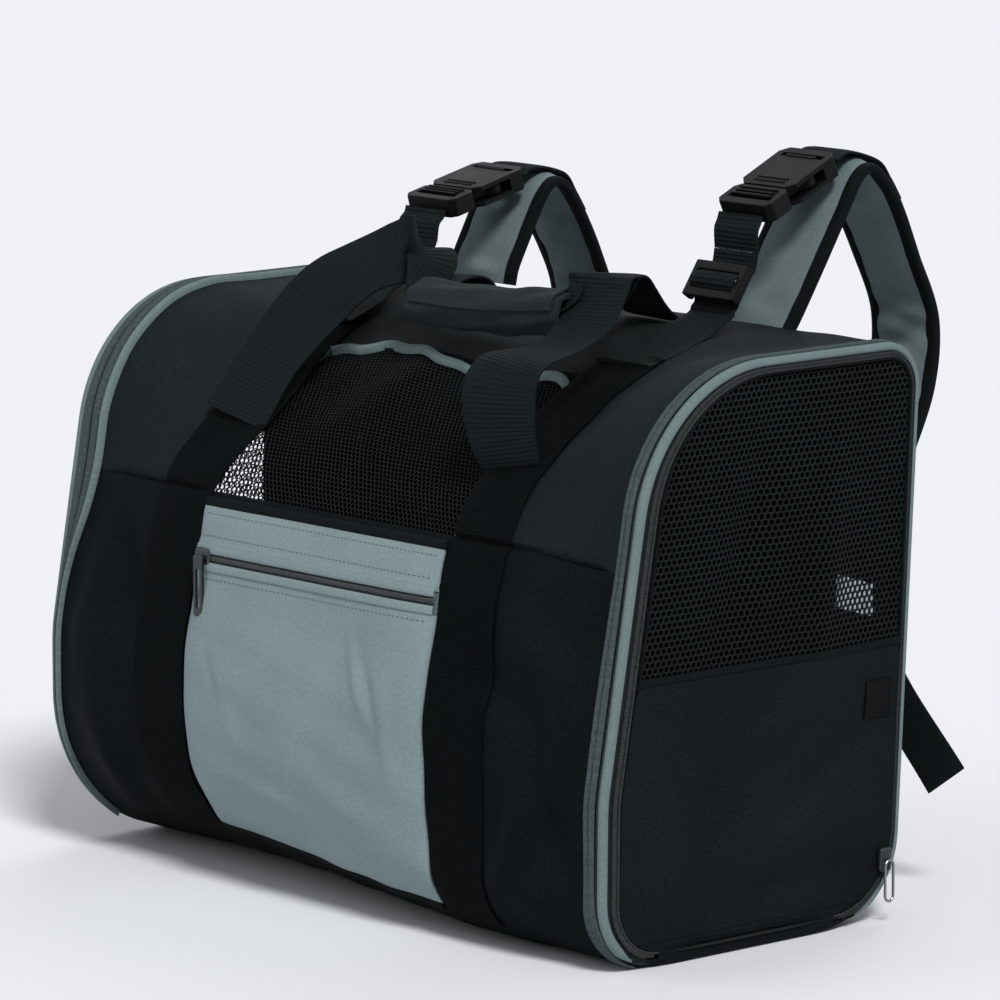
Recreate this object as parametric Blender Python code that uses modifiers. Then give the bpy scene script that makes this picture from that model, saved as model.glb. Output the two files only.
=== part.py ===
"""Soft pet carrier bag with a mesh window, two zipped end doors, a front pocket, carry handles and
backpack straps. Metres, +Z up, X along the bag, -Y the pocket side; the origin is under its middle."""

import math

import bmesh
import bpy
import numpy as np
from mathutils import Matrix, Vector

# Driving dimensions
LENGTH = 0.420
GAP = 0.0004
FABRIC = 0.0025
ARC_STEP = math.radians(13)
LEAST_RADIUS = 0.008
# Corners of the end outline as y, z and the radius that rounds each, from the bottom front upwards
CORNERS = (
    (-0.106, 0.000, 0.040),
    (-0.106, 0.115, 0.100),
    (-0.075, 0.290, 0.080),
    (0.1125, 0.290, 0.022),
    (0.0970, 0.000, 0.030),
)
SIDES = {"right": 1, "left": -1}

# Places on the shell
SHELL_X = LENGTH / 2 - 0.0045
SEAM_Z = 0.200
ARCH_END_Y = -0.030
BACK_SEAM_Z = 0.262
WINDOW_TOP_Y = -0.043
WINDOW_X = 0.0925
BINDING = 0.006
MESH = 0.0009
WEBBING_X = 0.1135
WEBBING = 0.040
WEBBING_THICK = 0.0018
WEBBING_LOW_Z = 0.012
WEBBING_END_Y = 0.004

# End doors
END_X = LENGTH / 2
PIPING_R = 0.0028
TAPE_OUTER = -0.0068
TAPE_INNER = -0.0160
TAPE_LOW_Z = 0.024
DOOR_EDGE = -0.0178
DOOR_BORDER = 0.0045
DOOR_THICK = 0.0020
DOOR_LOW_Z = 0.0125
CORNER_Z = 0.022
HINGE_Z = 0.0115
NET_LOW_Z = 0.142
NET_PITCH = 0.0158
NET_HOLE_R = 0.0066
LABEL = 0.019
LABEL_AT = (0.0640, 0.104)
LABEL_THICK = 0.0012
SLIDER_Z = 0.031
SLIDER = (0.0040, 0.0080, 0.0120)
WIRE_R = 0.0008
WIRE_HALF = 0.0028
WIRE_DROP = 0.018

# Pocket, as distances out from the shell
POCKET_X = 0.0905
POCKET_INNER = 0.0068
POCKET_OUTER = 0.0088
POCKET_LOW_Z = 0.024
POCKET_HIGH_Z = 0.162
ZIP_HIGH_Z = 0.173
STRIP_HIGH_Z = 0.193
POCKET_SLIDER_X = -0.080
PULLER_WIDTH = 0.0070
PULLER_DROP = 0.0315
PULLER_THICK = 0.0016

# Shoulder straps: y and z of the middle of each, from its sewn end; the left one lies lower
STRAP_PATH = {
    "right": ((0.100, 0.2972), (0.115, 0.3205), (0.131, 0.346), (0.141, 0.3615), (0.150, 0.366),
              (0.159, 0.359), (0.170, 0.345), (0.184, 0.318), (0.1985, 0.285), (0.196, 0.250),
              (0.180, 0.215), (0.164, 0.188)),
    "left": ((0.103, 0.2972), (0.1175, 0.3125), (0.129, 0.3285), (0.137, 0.338), (0.146, 0.3405),
             (0.157, 0.3365), (0.172, 0.3235), (0.1865, 0.305), (0.196, 0.282), (0.193, 0.250),
             (0.178, 0.215), (0.164, 0.188)),
}
STRAP_X = 0.113
STRAP_WIDTH = 0.052
STRAP_THICK = 0.009

# Side-release buckle: y and z of the plug's front end, and the slope of the buckle
BUCKLE_FRONT = {"right": (0.0827, 0.3470), "left": (0.0722, 0.3303)}
BUCKLE_SLOPE = {"right": math.radians(25), "left": math.radians(14)}
BUCKLE_WIDTH = 0.038
PLUG_LENGTH = 0.018
SOCKET_LENGTH = 0.036
BUCKLE_THICK = 0.011
SLOT = 0.0034
PRONG_X = 0.0105
PRONG_LENGTH = 0.021
GLIDE_AT = {"right": (0.0655, 0.3130), "left": (0.0470, 0.3040)}
GLIDE_SLOPE = {"right": math.radians(56), "left": math.radians(35)}
GLIDE_WIDTH = 0.036
GLIDE_LENGTH = 0.020
GLIDE_THICK = 0.0065
LIFTER = 0.028
LOWER_WEBBING = 0.025
LOWER_THICK = 0.0016
LOCK_WIDTH = 0.034
LOCK_HALF = 0.013
LOCK_THICK = 0.005

# Carry handle: the grip's centre, and its sleeve
GRIP_AT = (0.020, -0.012, 0.3045)
GRIP_LENGTH = 0.138
GRIP_R = 0.0135
GRIP_WALL = 0.0026
FLAP_R = 0.0153

# Inside
BOARD_DEPTH = 0.128
BOARD_THICK = 0.0035
MAT_DEPTH = 0.158
MAT_THICK = 0.018
BACK_PAD = (0.150, 0.190, 0.012)
BACK_PAD_Z = 0.150

FABRIC_BLACK = (0.010, 0.012, 0.013)
FABRIC_GREY = (0.190, 0.245, 0.255)
WEBBING_BLACK = (0.016, 0.018, 0.019)
NET_BLACK = (0.006, 0.007, 0.008)
PLASTIC_BLACK = (0.012, 0.013, 0.014)
ZIP_DARK = (0.030, 0.034, 0.036)
STEEL = (0.480, 0.490, 0.500)
BOARD_GREY = (0.110, 0.110, 0.105)

# Turns a drawing's x, y and depth to the bag's Y, Z and X
ACROSS = (math.pi / 2, 0.0, math.pi / 2)


def clear_scene():
    for obj in list(bpy.data.objects):
        bpy.data.objects.remove(obj, do_unlink=True)


def new_collection(name):
    collection = bpy.data.collections.new(name)
    bpy.context.scene.collection.children.link(collection)
    return collection


clear_scene()
PARTS = new_collection("pet_carrier_bag")
CUTTERS = new_collection("cutters")


def dressed(obj, colour, roughness=0.85, metallic=0.0):
    """Puts a finished sub-part in the bag's collection, with its own material."""
    material = bpy.data.materials.new(obj.name)
    material.use_nodes = True
    shader = material.node_tree.nodes["Principled BSDF"]
    shader.inputs["Base Color"].default_value = (*colour, 1.0)
    shader.inputs["Roughness"].default_value = roughness
    shader.inputs["Metallic"].default_value = metallic
    obj.data.materials.clear()
    obj.data.materials.append(material)
    if obj.name not in PARTS.objects:
        PARTS.objects.link(obj)
    return obj


def pivot(name, place, parent=None):
    """Empty on a joint's axis, which carries the moving pieces."""
    empty = bpy.data.objects.new(name, None)
    empty.location = Vector(place) - (parent.matrix_world.translation if parent else Vector())
    empty.parent = parent
    PARTS.objects.link(empty)
    bpy.context.view_layer.update()
    return empty


def carried(obj, empty):
    obj.parent = empty
    obj.matrix_parent_inverse = empty.matrix_world.inverted()
    return obj


# The end outline and layers on it

def moved_corners(out):
    """The outline's corners after each side moves out by this much, with their radii."""
    corners = np.array(CORNERS)
    way = np.roll(corners[:, :2], -1, axis=0) - corners[:, :2]
    way /= np.linalg.norm(way, axis=1)[:, None]
    after = np.stack((-way[:, 1], way[:, 0]), axis=1)
    before = np.roll(after, 1, axis=0)
    shift = (before + after) * out / (1 + (before * after).sum(axis=1))[:, None]
    return corners[:, :2] + shift, np.maximum(corners[:, 2] + out, LEAST_RADIUS)


def rounded_outline(out=0.0):
    """Points, outward normals and running lengths round the outline, from the bottom's front end on."""
    points, normals = [], []
    corners, radii = moved_corners(out)
    for index, (corner, radius) in enumerate(zip(corners, radii)):
        before = corners[index - 1] - corner
        after = corners[(index + 1) % len(corners)] - corner
        before /= np.linalg.norm(before)
        after /= np.linalg.norm(after)
        half = math.acos(float(before @ after)) / 2
        bisector = (before + after) / np.linalg.norm(before + after)
        centre = corner + bisector * radius / math.sin(half)
        first = corner + before * radius / math.tan(half) - centre
        turn = -(math.pi - 2 * half)
        steps = max(2, math.ceil(-turn / ARC_STEP))
        for angle in np.linspace(0.0, turn, steps + 1):
            cos, sin = math.cos(angle), math.sin(angle)
            spoke = np.array((first[0] * cos - first[1] * sin, first[0] * sin + first[1] * cos))
            points.append(centre + spoke)
            normals.append(spoke / radius)
    points = np.array(points)
    steps = np.linalg.norm(np.diff(points, axis=0), axis=1)
    return points, np.array(normals), np.concatenate(([0.0], np.cumsum(steps)))


POINTS, NORMALS, LENGTHS = rounded_outline()
TOPMOST = int(np.argmax(POINTS[:, 1] - 0.01 * POINTS[:, 0]))


def front_at(z):
    """Length along the outline where its front and arch reach this height."""
    return float(np.interp(z, POINTS[:TOPMOST + 1, 1], LENGTHS[:TOPMOST + 1]))


def top_at(y):
    """Length along the outline where its arch and top reach this depth."""
    rising = slice(int(np.argmin(POINTS[:, 0])) + 3, int(np.argmax(POINTS[:, 0])) + 1)
    return float(np.interp(y, POINTS[rising, 0], LENGTHS[rising]))


def back_at(z):
    """Length along the outline where its back comes down to this height."""
    falling = slice(int(np.argmax(POINTS[:, 0])), None)
    return float(np.interp(z, POINTS[falling, 1][::-1], LENGTHS[falling][::-1]))


def station(length):
    point = np.array([np.interp(length, LENGTHS, POINTS[:, axis]) for axis in (0, 1)])
    normal = np.array([np.interp(length, LENGTHS, NORMALS[:, axis]) for axis in (0, 1)])
    return point, normal / np.linalg.norm(normal)


def offset_path(start, end, out):
    between = LENGTHS[(LENGTHS > start + 1e-5) & (LENGTHS < end - 1e-5)]
    spots = [station(length) for length in (start, *between, end)]
    return [point + normal * out for point, normal in spots]


def layer(start, end, inner, outer):
    """Closed outline of a layer that follows the shell, between two distances out from it."""
    return offset_path(start, end, outer) + offset_path(start, end, inner)[::-1]


def arch_outline(out, low_z):
    """Closed outline of a door shape: the end outline moved by out, cut off straight at low_z."""
    path = rounded_outline(out)[0]
    path = path[path[:, 1] > CORNER_Z]
    top = int(np.argmax(path[:, 1]))
    front_y = np.interp(low_z, path[:top + 1, 1], path[:top + 1, 0])
    back_y = np.interp(low_z, path[top:, 1][::-1], path[top:, 0][::-1])
    inside = path[path[:, 1] > low_z + 1e-5]
    return [(front_y, low_z), *inside, (back_y, low_z)]


def thick_path(path, thickness):
    """Closed outline of a band of even thickness along an open path of y and z."""
    path = np.array(path)
    along = np.gradient(path, axis=0)
    along /= np.linalg.norm(along, axis=1)[:, None]
    side = np.stack((-along[:, 1], along[:, 0]), axis=1) * thickness / 2
    return [*(path + side), *(path - side)[::-1]]


def smooth_path(points, steps=4):
    """Points on a smooth curve through the given ones (Catmull-Rom)."""
    points = np.array(points, float)
    ends = np.concatenate(([2 * points[0] - points[1]], points, [2 * points[-1] - points[-2]]))
    found = []
    for a, b, c, d in zip(ends, ends[1:], ends[2:], ends[3:]):
        for t in np.arange(steps) / steps:
            found.append(b + (c - a) * t / 2 + (2 * a - 5 * b + 4 * c - d) * t * t / 2
                         + (3 * b - a - 3 * c + d) * t ** 3 / 2)
    return np.array([*found, points[-1]])


# Shape makers

def drawn(name, loops, depth):
    """Flat outline with holes, as deep as given, centred on its drawing plane."""
    curve = bpy.data.curves.new(name, "CURVE")
    curve.dimensions = "2D"
    curve.fill_mode = "BOTH"
    curve.extrude = depth / 2
    for loop in loops:
        spline = curve.splines.new("POLY")
        spline.points.add(len(loop) - 1)
        for point, (u, v) in zip(spline.points, loop):
            point.co = (u, v, 0.0, 1.0)
        spline.use_cyclic_u = True
    return bpy.data.objects.new(name, curve)


def across(name, loops, low_x, high_x):
    """Outline in y and z, carried along X."""
    obj = drawn(name, loops, high_x - low_x)
    obj.location = ((low_x + high_x) / 2, 0.0, 0.0)
    obj.rotation_euler = ACROSS
    return obj


def tube(name, points, radius, closed=False):
    curve = bpy.data.curves.new(name, "CURVE")
    curve.dimensions = "3D"
    curve.bevel_depth = radius
    curve.bevel_resolution = 1
    curve.use_fill_caps = not closed
    spline = curve.splines.new("POLY")
    spline.points.add(len(points) - 1)
    for point, place in zip(spline.points, points):
        point.co = (*place, 1.0)
    spline.use_cyclic_u = closed
    return bpy.data.objects.new(name, curve)


def block(name, size, centre=(0.0, 0.0, 0.0), bevel=0.0):
    mesh = bpy.data.meshes.new(name)
    shape = bmesh.new()
    bmesh.ops.create_cube(shape, size=1.0, matrix=Matrix.Translation(centre) @ Matrix.Diagonal((*size, 1.0)))
    shape.to_mesh(mesh)
    shape.free()
    obj = bpy.data.objects.new(name, mesh)
    if bevel:
        rounding = obj.modifiers.new("rounded", "BEVEL")
        rounding.width = bevel
        rounding.segments = 2
    return obj


def ribbon(name, path, widths, facing, thickness):
    """Webbing along a 3-D path, with Solidify. Facing gives its width's direction at each point."""
    path, widths, facing = np.array(path), np.array(widths), np.array(facing)
    half = facing / np.linalg.norm(facing, axis=1)[:, None] * widths[:, None] / 2
    corners = np.stack((path - half, path + half), axis=1).reshape(-1, 3)
    rows = np.arange(len(path) - 1) * 2
    faces = np.stack((rows, rows + 1, rows + 3, rows + 2), axis=1)
    mesh = bpy.data.meshes.new(name)
    mesh.from_pydata(corners.tolist(), [], faces.tolist())
    obj = bpy.data.objects.new(name, mesh)
    solid = obj.modifiers.new("thickness", "SOLIDIFY")
    solid.thickness = thickness
    solid.offset = 0.0
    solid.use_even_offset = True
    return obj


def cushion(name, size, crown, draw_in):
    """Pillow form: crowned faces, and sides that pull in between its corners."""
    mesh = bpy.data.meshes.new(name)
    shape = bmesh.new()
    bmesh.ops.create_cube(shape, size=2.0)
    bmesh.ops.subdivide_edges(shape, edges=shape.edges[:], cuts=7, use_grid_fill=True)
    for vertex in shape.verts:
        u, v, w = vertex.co
        swell = (1 - u ** 4) * (1 - v ** 4)
        vertex.co.x = u * (size[0] / 2 - draw_in * (1 - v * v))
        vertex.co.y = v * (size[1] / 2 - draw_in * (1 - u * u))
        vertex.co.z = w * (size[2] / 2 - crown * (1 - swell))
    shape.to_mesh(mesh)
    shape.free()
    return bpy.data.objects.new(name, mesh)


def as_mesh(obj):
    """A drawn outline as a closed mesh, for a Boolean."""
    bpy.context.scene.collection.objects.link(obj)
    bpy.context.view_layer.update()
    mesh = bpy.data.meshes.new_from_object(obj.evaluated_get(bpy.context.evaluated_depsgraph_get()))
    shape = bmesh.new()
    shape.from_mesh(mesh)
    bmesh.ops.remove_doubles(shape, verts=shape.verts[:], dist=1e-5)
    bmesh.ops.recalc_face_normals(shape, faces=shape.faces[:])
    if shape.calc_volume(signed=True) < 0.0:
        bmesh.ops.reverse_faces(shape, faces=shape.faces[:])
    shape.to_mesh(mesh)
    shape.free()
    name, place = obj.name, obj.matrix_world.copy()
    bpy.data.objects.remove(obj, do_unlink=True)
    made = bpy.data.objects.new(name, mesh)
    made.matrix_world = place
    return made


def helper(obj):
    obj.hide_render = True
    obj.display_type = "WIRE"
    CUTTERS.objects.link(obj)
    return obj


def shaped(obj, other, operation):
    """Boolean that keeps its helper under the same placing as the piece."""
    other.matrix_world = obj.matrix_world @ other.matrix_world
    change = obj.modifiers.new(operation.lower(), "BOOLEAN")
    change.operation = operation
    change.object = helper(other)
    return obj


def tilted(obj, x, spot, slope):
    """Places a piece drawn in x across, y along and z up: y then points back and up by slope."""
    obj.matrix_world = Matrix.Translation((x, *spot)) @ Matrix.Rotation(slope, 4, "X")
    return obj


def rectangle(low_u, high_u, low_v, high_v):
    return [(low_u, low_v), (high_u, low_v), (high_u, high_v), (low_u, high_v)]


def rounded_box(width, low_v, high_v, cut):
    """Rectangle with its corners cut off."""
    half = width / 2
    return [(-half + cut, low_v), (half - cut, low_v), (half, low_v + cut), (half, high_v - cut),
            (half - cut, high_v), (-half + cut, high_v), (-half, high_v - cut), (-half, low_v + cut)]


# The shell

def make_shell():
    first, last = POINTS[0][0], POINTS[-1][0]
    floor = rectangle(first + GAP, last - GAP, 0.0, FABRIC)
    dressed(across("bottom_panel", [floor], -SHELL_X, SHELL_X), FABRIC_BLACK)
    spans = {
        "front_panel": (0.0, front_at(SEAM_Z), -SHELL_X, SHELL_X),
        "arch_panel_right": (front_at(SEAM_Z) + GAP, top_at(ARCH_END_Y), WINDOW_X + BINDING + GAP, SHELL_X),
        "arch_panel_left": (front_at(SEAM_Z) + GAP, top_at(ARCH_END_Y), -SHELL_X, -WINDOW_X - BINDING - GAP),
        "top_panel": (top_at(ARCH_END_Y) + GAP, back_at(BACK_SEAM_Z), -SHELL_X, SHELL_X),
        "back_panel": (back_at(BACK_SEAM_Z) + GAP, LENGTHS[-1], -SHELL_X, SHELL_X),
    }
    for name, (start, end, low_x, high_x) in spans.items():
        dressed(across(name, [layer(start, end, -FABRIC, 0.0)], low_x, high_x), FABRIC_BLACK)


def make_window():
    start, top = front_at(SEAM_Z) + GAP, top_at(WINDOW_TOP_Y)
    end = top_at(ARCH_END_Y)
    net = layer(start, top - GAP, -FABRIC / 2 - MESH / 2, -FABRIC / 2 + MESH / 2)
    dressed(across("window_mesh", [net], -WINDOW_X + GAP, WINDOW_X - GAP), NET_BLACK)
    rim = WINDOW_X + BINDING
    frame = as_mesh(across("window_binding", [layer(start, end, -FABRIC, 0.0)], -rim, rim))
    hole = layer(front_at(SEAM_Z - BINDING), top, -2 * FABRIC, FABRIC)
    cutter = as_mesh(across("window_cutter", [hole], -WINDOW_X, WINDOW_X))
    cut = frame.modifiers.new("window", "BOOLEAN")
    cut.object = helper(cutter)
    dressed(frame, FABRIC_GREY)


def make_inside():
    board = block("base_board", (2 * SHELL_X - 0.010, BOARD_DEPTH, BOARD_THICK), bevel=0.0008)
    board.location = (0.0, 0.0, FABRIC + GAP + BOARD_THICK / 2)
    dressed(board, BOARD_GREY)
    mat = cushion("floor_mat", (2 * SHELL_X - 0.012, MAT_DEPTH, MAT_THICK), 0.004, 0.003)
    mat.location = (0.0, 0.0, FABRIC + 2 * GAP + BOARD_THICK + MAT_THICK / 2)
    dressed(mat, FABRIC_GREY)
    spot, normal = station(back_at(BACK_PAD_Z))
    pad = cushion("back_pad", BACK_PAD, 0.003, 0.003)
    pad.location = (0.0, *(spot + normal * (BACK_PAD[2] / 2 + GAP)))
    pad.rotation_euler = (-math.atan2(normal[0], normal[1]), 0.0, 0.0)
    dressed(pad, FABRIC_BLACK)


def make_body_webbing(side, sign):
    low = sign * WEBBING_X - WEBBING / 2
    band = layer(front_at(WEBBING_LOW_Z), top_at(WEBBING_END_Y), GAP, GAP + WEBBING_THICK)
    dressed(across(f"body_webbing_{side}", [band], low, low + WEBBING), WEBBING_BLACK)


# The pocket

def make_pocket():
    low, high = front_at(POCKET_LOW_Z), front_at(POCKET_HIGH_Z)
    wall = layer(low, high, POCKET_INNER, POCKET_OUTER)
    foot = layer(low, front_at(POCKET_LOW_Z + 0.003), GAP, POCKET_INNER + 0.0005)
    bag = as_mesh(across("pocket_front", [wall], -POCKET_X, POCKET_X))
    base = as_mesh(across("pocket_foot", [foot], -POCKET_X, POCKET_X))
    join = bag.modifiers.new("foot", "BOOLEAN")
    join.operation = "UNION"
    join.object = helper(base)
    dressed(bag, FABRIC_GREY)
    chain = layer(high + GAP, front_at(ZIP_HIGH_Z), POCKET_INNER, POCKET_OUTER + 0.0006)
    dressed(across("pocket_zip", [chain], -POCKET_X, POCKET_X), ZIP_DARK)
    strip = layer(front_at(ZIP_HIGH_Z) + GAP, front_at(STRIP_HIGH_Z), GAP, POCKET_OUTER)
    dressed(across("pocket_strip", [strip], -POCKET_X, POCKET_X), FABRIC_GREY)


def make_pocket_slider():
    spot, normal = station(front_at((POCKET_HIGH_Z + ZIP_HIGH_Z) / 2))
    lean = math.atan2(normal[1], -normal[0])
    middle = spot + normal * (POCKET_OUTER + 0.0032)
    carrier = pivot("pocket_slider_axis", (POCKET_SLIDER_X, *middle))
    slider = block("pocket_slider", (0.012, 0.004, 0.008), bevel=0.0012)
    slider.location = (POCKET_SLIDER_X, *middle)
    slider.rotation_euler = (-lean, 0.0, 0.0)
    dressed(carried(slider, carrier), STEEL, 0.35, 1.0)
    hang = spot + normal * (POCKET_OUTER + 0.0072)
    swing = pivot("pocket_puller_axis", (POCKET_SLIDER_X, *hang), carrier)
    slot = rectangle(-0.0016, 0.0016, 0.0045 - PULLER_DROP, -0.007)
    plate = rounded_box(PULLER_WIDTH, -PULLER_DROP, 0.0005, 0.0015)
    puller = as_mesh(drawn("pocket_puller", [plate, slot], PULLER_THICK))
    puller.location = (POCKET_SLIDER_X, *hang)
    puller.rotation_euler = (math.pi / 2, 0.0, 0.0)
    dressed(carried(puller, swing), STEEL, 0.35, 1.0)


# End doors

def make_end_trim(side, sign):
    path = offset_path(0.0, LENGTHS[-1], -PIPING_R - GAP)
    ring = [(sign * (END_X - PIPING_R + 0.0012), y, z) for y, z in path]
    dressed(tube(f"piping_{side}", ring, PIPING_R, closed=True), FABRIC_GREY)
    start, end = front_at(TAPE_LOW_Z), back_at(TAPE_LOW_Z)
    face = END_X - 0.0006
    low, high = sorted((sign * face, sign * (face - 0.0012)))
    tape = layer(start, end, TAPE_INNER, TAPE_OUTER)
    dressed(across(f"zip_tape_{side}", [tape], low, high), ZIP_DARK)


def net_holes(outline):
    """Hexagons of a staggered net, those that lie well inside a convex outline."""
    edge = np.array(outline)
    step = np.roll(edge, -1, axis=0) - edge
    inward = np.stack((step[:, 1], -step[:, 0]), axis=1) / np.linalg.norm(step, axis=1)[:, None]
    angles = np.radians(np.arange(30, 390, 60))
    corners = np.stack((np.cos(angles), np.sin(angles)), axis=1) * NET_HOLE_R
    centre = edge.mean(axis=0)
    holes = []
    for row in range(-10, 11):
        for column in range(-10, 11):
            spot = centre + NET_PITCH * np.array((column + row % 2 / 2, row * math.sqrt(0.75)))
            depth = (((spot + corners)[:, None] - edge[None]) * inward[None]).sum(axis=2)
            if depth.min() > 0.002:
                holes.append(spot + corners)
    return holes


def make_door(side, sign):
    outer = END_X + 0.0004
    low, high = sorted((sign * outer, sign * (outer - DOOR_THICK)))
    hinge = pivot(f"{side}_door_axis", (sign * outer, 0.0, HINGE_Z))
    edge = arch_outline(DOOR_EDGE, DOOR_LOW_Z)
    window = arch_outline(DOOR_EDGE - DOOR_BORDER, NET_LOW_Z)
    panel = as_mesh(across(f"{side}_door_panel", [edge, window], low, high))
    dressed(carried(panel, hinge), FABRIC_BLACK)
    net_edge = arch_outline(DOOR_EDGE - DOOR_BORDER - GAP, NET_LOW_Z + GAP)
    middle = sign * (outer - DOOR_THICK / 2)
    loops = [net_edge, *net_holes(net_edge)]
    net = as_mesh(across(f"{side}_door_mesh", loops, middle - MESH / 2, middle + MESH / 2))
    dressed(carried(net, hinge), NET_BLACK)
    return hinge


def make_label(hinge):
    low = END_X + 0.0004 + GAP
    y, z = LABEL_AT
    patch = rectangle(y, y + LABEL, z, z + LABEL)
    dressed(carried(across("door_label", [patch], low, low + LABEL_THICK), hinge), FABRIC_BLACK)


def make_door_slider(side, sign):
    spot, normal = station(back_at(SLIDER_Z))
    spot = spot + normal * (TAPE_INNER + TAPE_OUTER) / 2
    slope = math.atan2(normal[1], normal[0])
    face = END_X + 0.0004
    rail = pivot(f"{side}_door_slider_axis", (sign * (face + SLIDER[0] / 2), *spot))
    slider = block(f"{side}_door_slider", SLIDER, bevel=0.0012)
    slider.location = rail.location
    slider.rotation_euler = (slope, 0.0, 0.0)
    dressed(carried(slider, rail), STEEL, 0.35, 1.0)
    place = (sign * (face + SLIDER[0] + 0.0018), *spot)
    swing = pivot(f"{side}_door_puller_axis", place, rail)
    turn = [math.pi * step / 6 for step in range(7)]
    loop = [(0.0, WIRE_HALF * math.cos(a), WIRE_HALF * (math.sin(a) - 1.0)) for a in turn]
    loop += [(0.0, -WIRE_HALF * math.cos(a), -WIRE_DROP - WIRE_HALF * math.sin(a)) for a in turn]
    puller = tube(f"{side}_door_puller", loop, WIRE_R, closed=True)
    puller.location = place
    dressed(carried(puller, swing), STEEL, 0.30, 1.0)


# Carry handle

def handle_route(front):
    """Middle line, width direction and width of one handle, from its left sewn end to its right one."""
    gx, gy, gz = GRIP_AT
    if front:
        spot, normal = station(front_at(0.226))
        foot = spot + normal * (2 * GAP + 1.5 * WEBBING_THICK + 0.0002)
        knee = np.array((-0.078, 0.262))
        bend = np.array((-0.046, 0.304))
        crest = np.array((-0.018, 0.320))
        foot_x = WEBBING_X
        turn = np.array((0.090, gy - 0.009, gz + 0.001))
        lift = -0.0030
    else:
        foot = np.array((0.062, 0.2905 + WEBBING_THICK))
        knee = np.array((0.052, 0.2985))
        bend = np.array((0.038, 0.314))
        crest = np.array((0.016, 0.325))
        foot_x = 0.068
        turn = np.array((0.082, gy + 0.011, gz + 0.014))
        lift = 0.0030
    arm = [(foot_x, *foot), (foot_x, *knee), (foot_x * 0.99, *bend), (0.095, *crest),
           turn, (0.076, gy, gz + lift), (0.040, gy, gz + lift)]
    width = [0.038, 0.038, 0.036, 0.028, 0.018, 0.017, 0.017]
    facing = [(1.0, 0.0, 0.0), (1.0, 0.0, 0.0), (1.0, 0.1, 0.0), (0.8, 0.6, 0.1), (0.2, 1.0, 0.0),
              (0.0, 1.0, 0.0), (0.0, 1.0, 0.0)]
    right = [np.array((x + (gx if index > 2 else 0.0), y, z)) for index, (x, y, z) in enumerate(arm)]
    left = [np.array((-x + (gx if index > 2 else 0.0), y, z)) for index, (x, y, z) in enumerate(arm)]
    across_left = [np.array((x, -y, -z)) for x, y, z in facing]
    across_left[-3:] = [np.array((x, y, z)) for x, y, z in facing[-3:]]
    places = left + right[::-1]
    ways = across_left + facing[::-1]
    rows = [np.array((*place, *way, wide)) for place, way, wide in zip(places, ways, width + width[::-1])]
    return smooth_path(rows, 3)


def make_handle():
    lift = pivot("handle_axis", GRIP_AT)
    for name, front in (("front_handle", True), ("rear_handle", False)):
        route = handle_route(front)
        webbing = ribbon(name, route[:, :3], route[:, 6], route[:, 3:6], WEBBING_THICK)
        dressed(carried(webbing, lift), WEBBING_BLACK)
    gx, gy, gz = GRIP_AT
    low, high = gx - GRIP_LENGTH / 2, gx + GRIP_LENGTH / 2

    def arc(radius, start, end):
        angles = np.radians(np.linspace(start, end, 15))
        return [(gy + radius * math.cos(a), gz + radius * math.sin(a)) for a in angles]

    sleeve = arc(GRIP_R, 78, -258) + arc(GRIP_R - GRIP_WALL, -258, 78)
    dressed(carried(across("grip_sleeve", [sleeve], low, high), lift), WEBBING_BLACK)
    hinge = pivot("grip_flap_axis", (gx, gy + FLAP_R * math.cos(0.2), gz + FLAP_R * math.sin(0.2)), lift)
    cover = arc(FLAP_R, 12, 170) + arc(GRIP_R + GAP, 170, 12)
    flap = across("grip_flap", [cover], low + 0.006, high - 0.006)
    dressed(carried(flap, hinge), WEBBING_BLACK)


# Shoulder straps

def make_strap(side, sign):
    root_y, root_z = STRAP_PATH[side][0]
    hinge = pivot(f"{side}_strap_axis", (sign * STRAP_X, root_y, root_z - 0.004))
    middle = sign * STRAP_X
    path = smooth_path(STRAP_PATH[side], 3)
    pad = across(f"strap_pad_{side}", [thick_path(path, STRAP_THICK)],
                 middle - STRAP_WIDTH / 2, middle + STRAP_WIDTH / 2)
    dressed(carried(pad, hinge), FABRIC_GREY)
    end, before = path[-1], path[-2]
    slope = math.atan2(*(end - before)[::-1])
    lock_at = end + (end - before) / np.linalg.norm(end - before) * (LOCK_HALF + 0.0015)
    holes = [rectangle(-0.0130, 0.0130, low, low + SLOT) for low in (-0.0080, 0.0042)]
    plate = rounded_box(LOCK_WIDTH, -LOCK_HALF, LOCK_HALF, 0.002)
    lock = as_mesh(drawn(f"ladder_lock_{side}", [plate, *holes], LOCK_THICK))
    tilted(lock, middle, lock_at, slope)
    dressed(carried(lock, hinge), PLASTIC_BLACK, 0.45)
    make_lower_webbing(side, sign, lock_at, slope, hinge)
    return hinge


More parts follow.
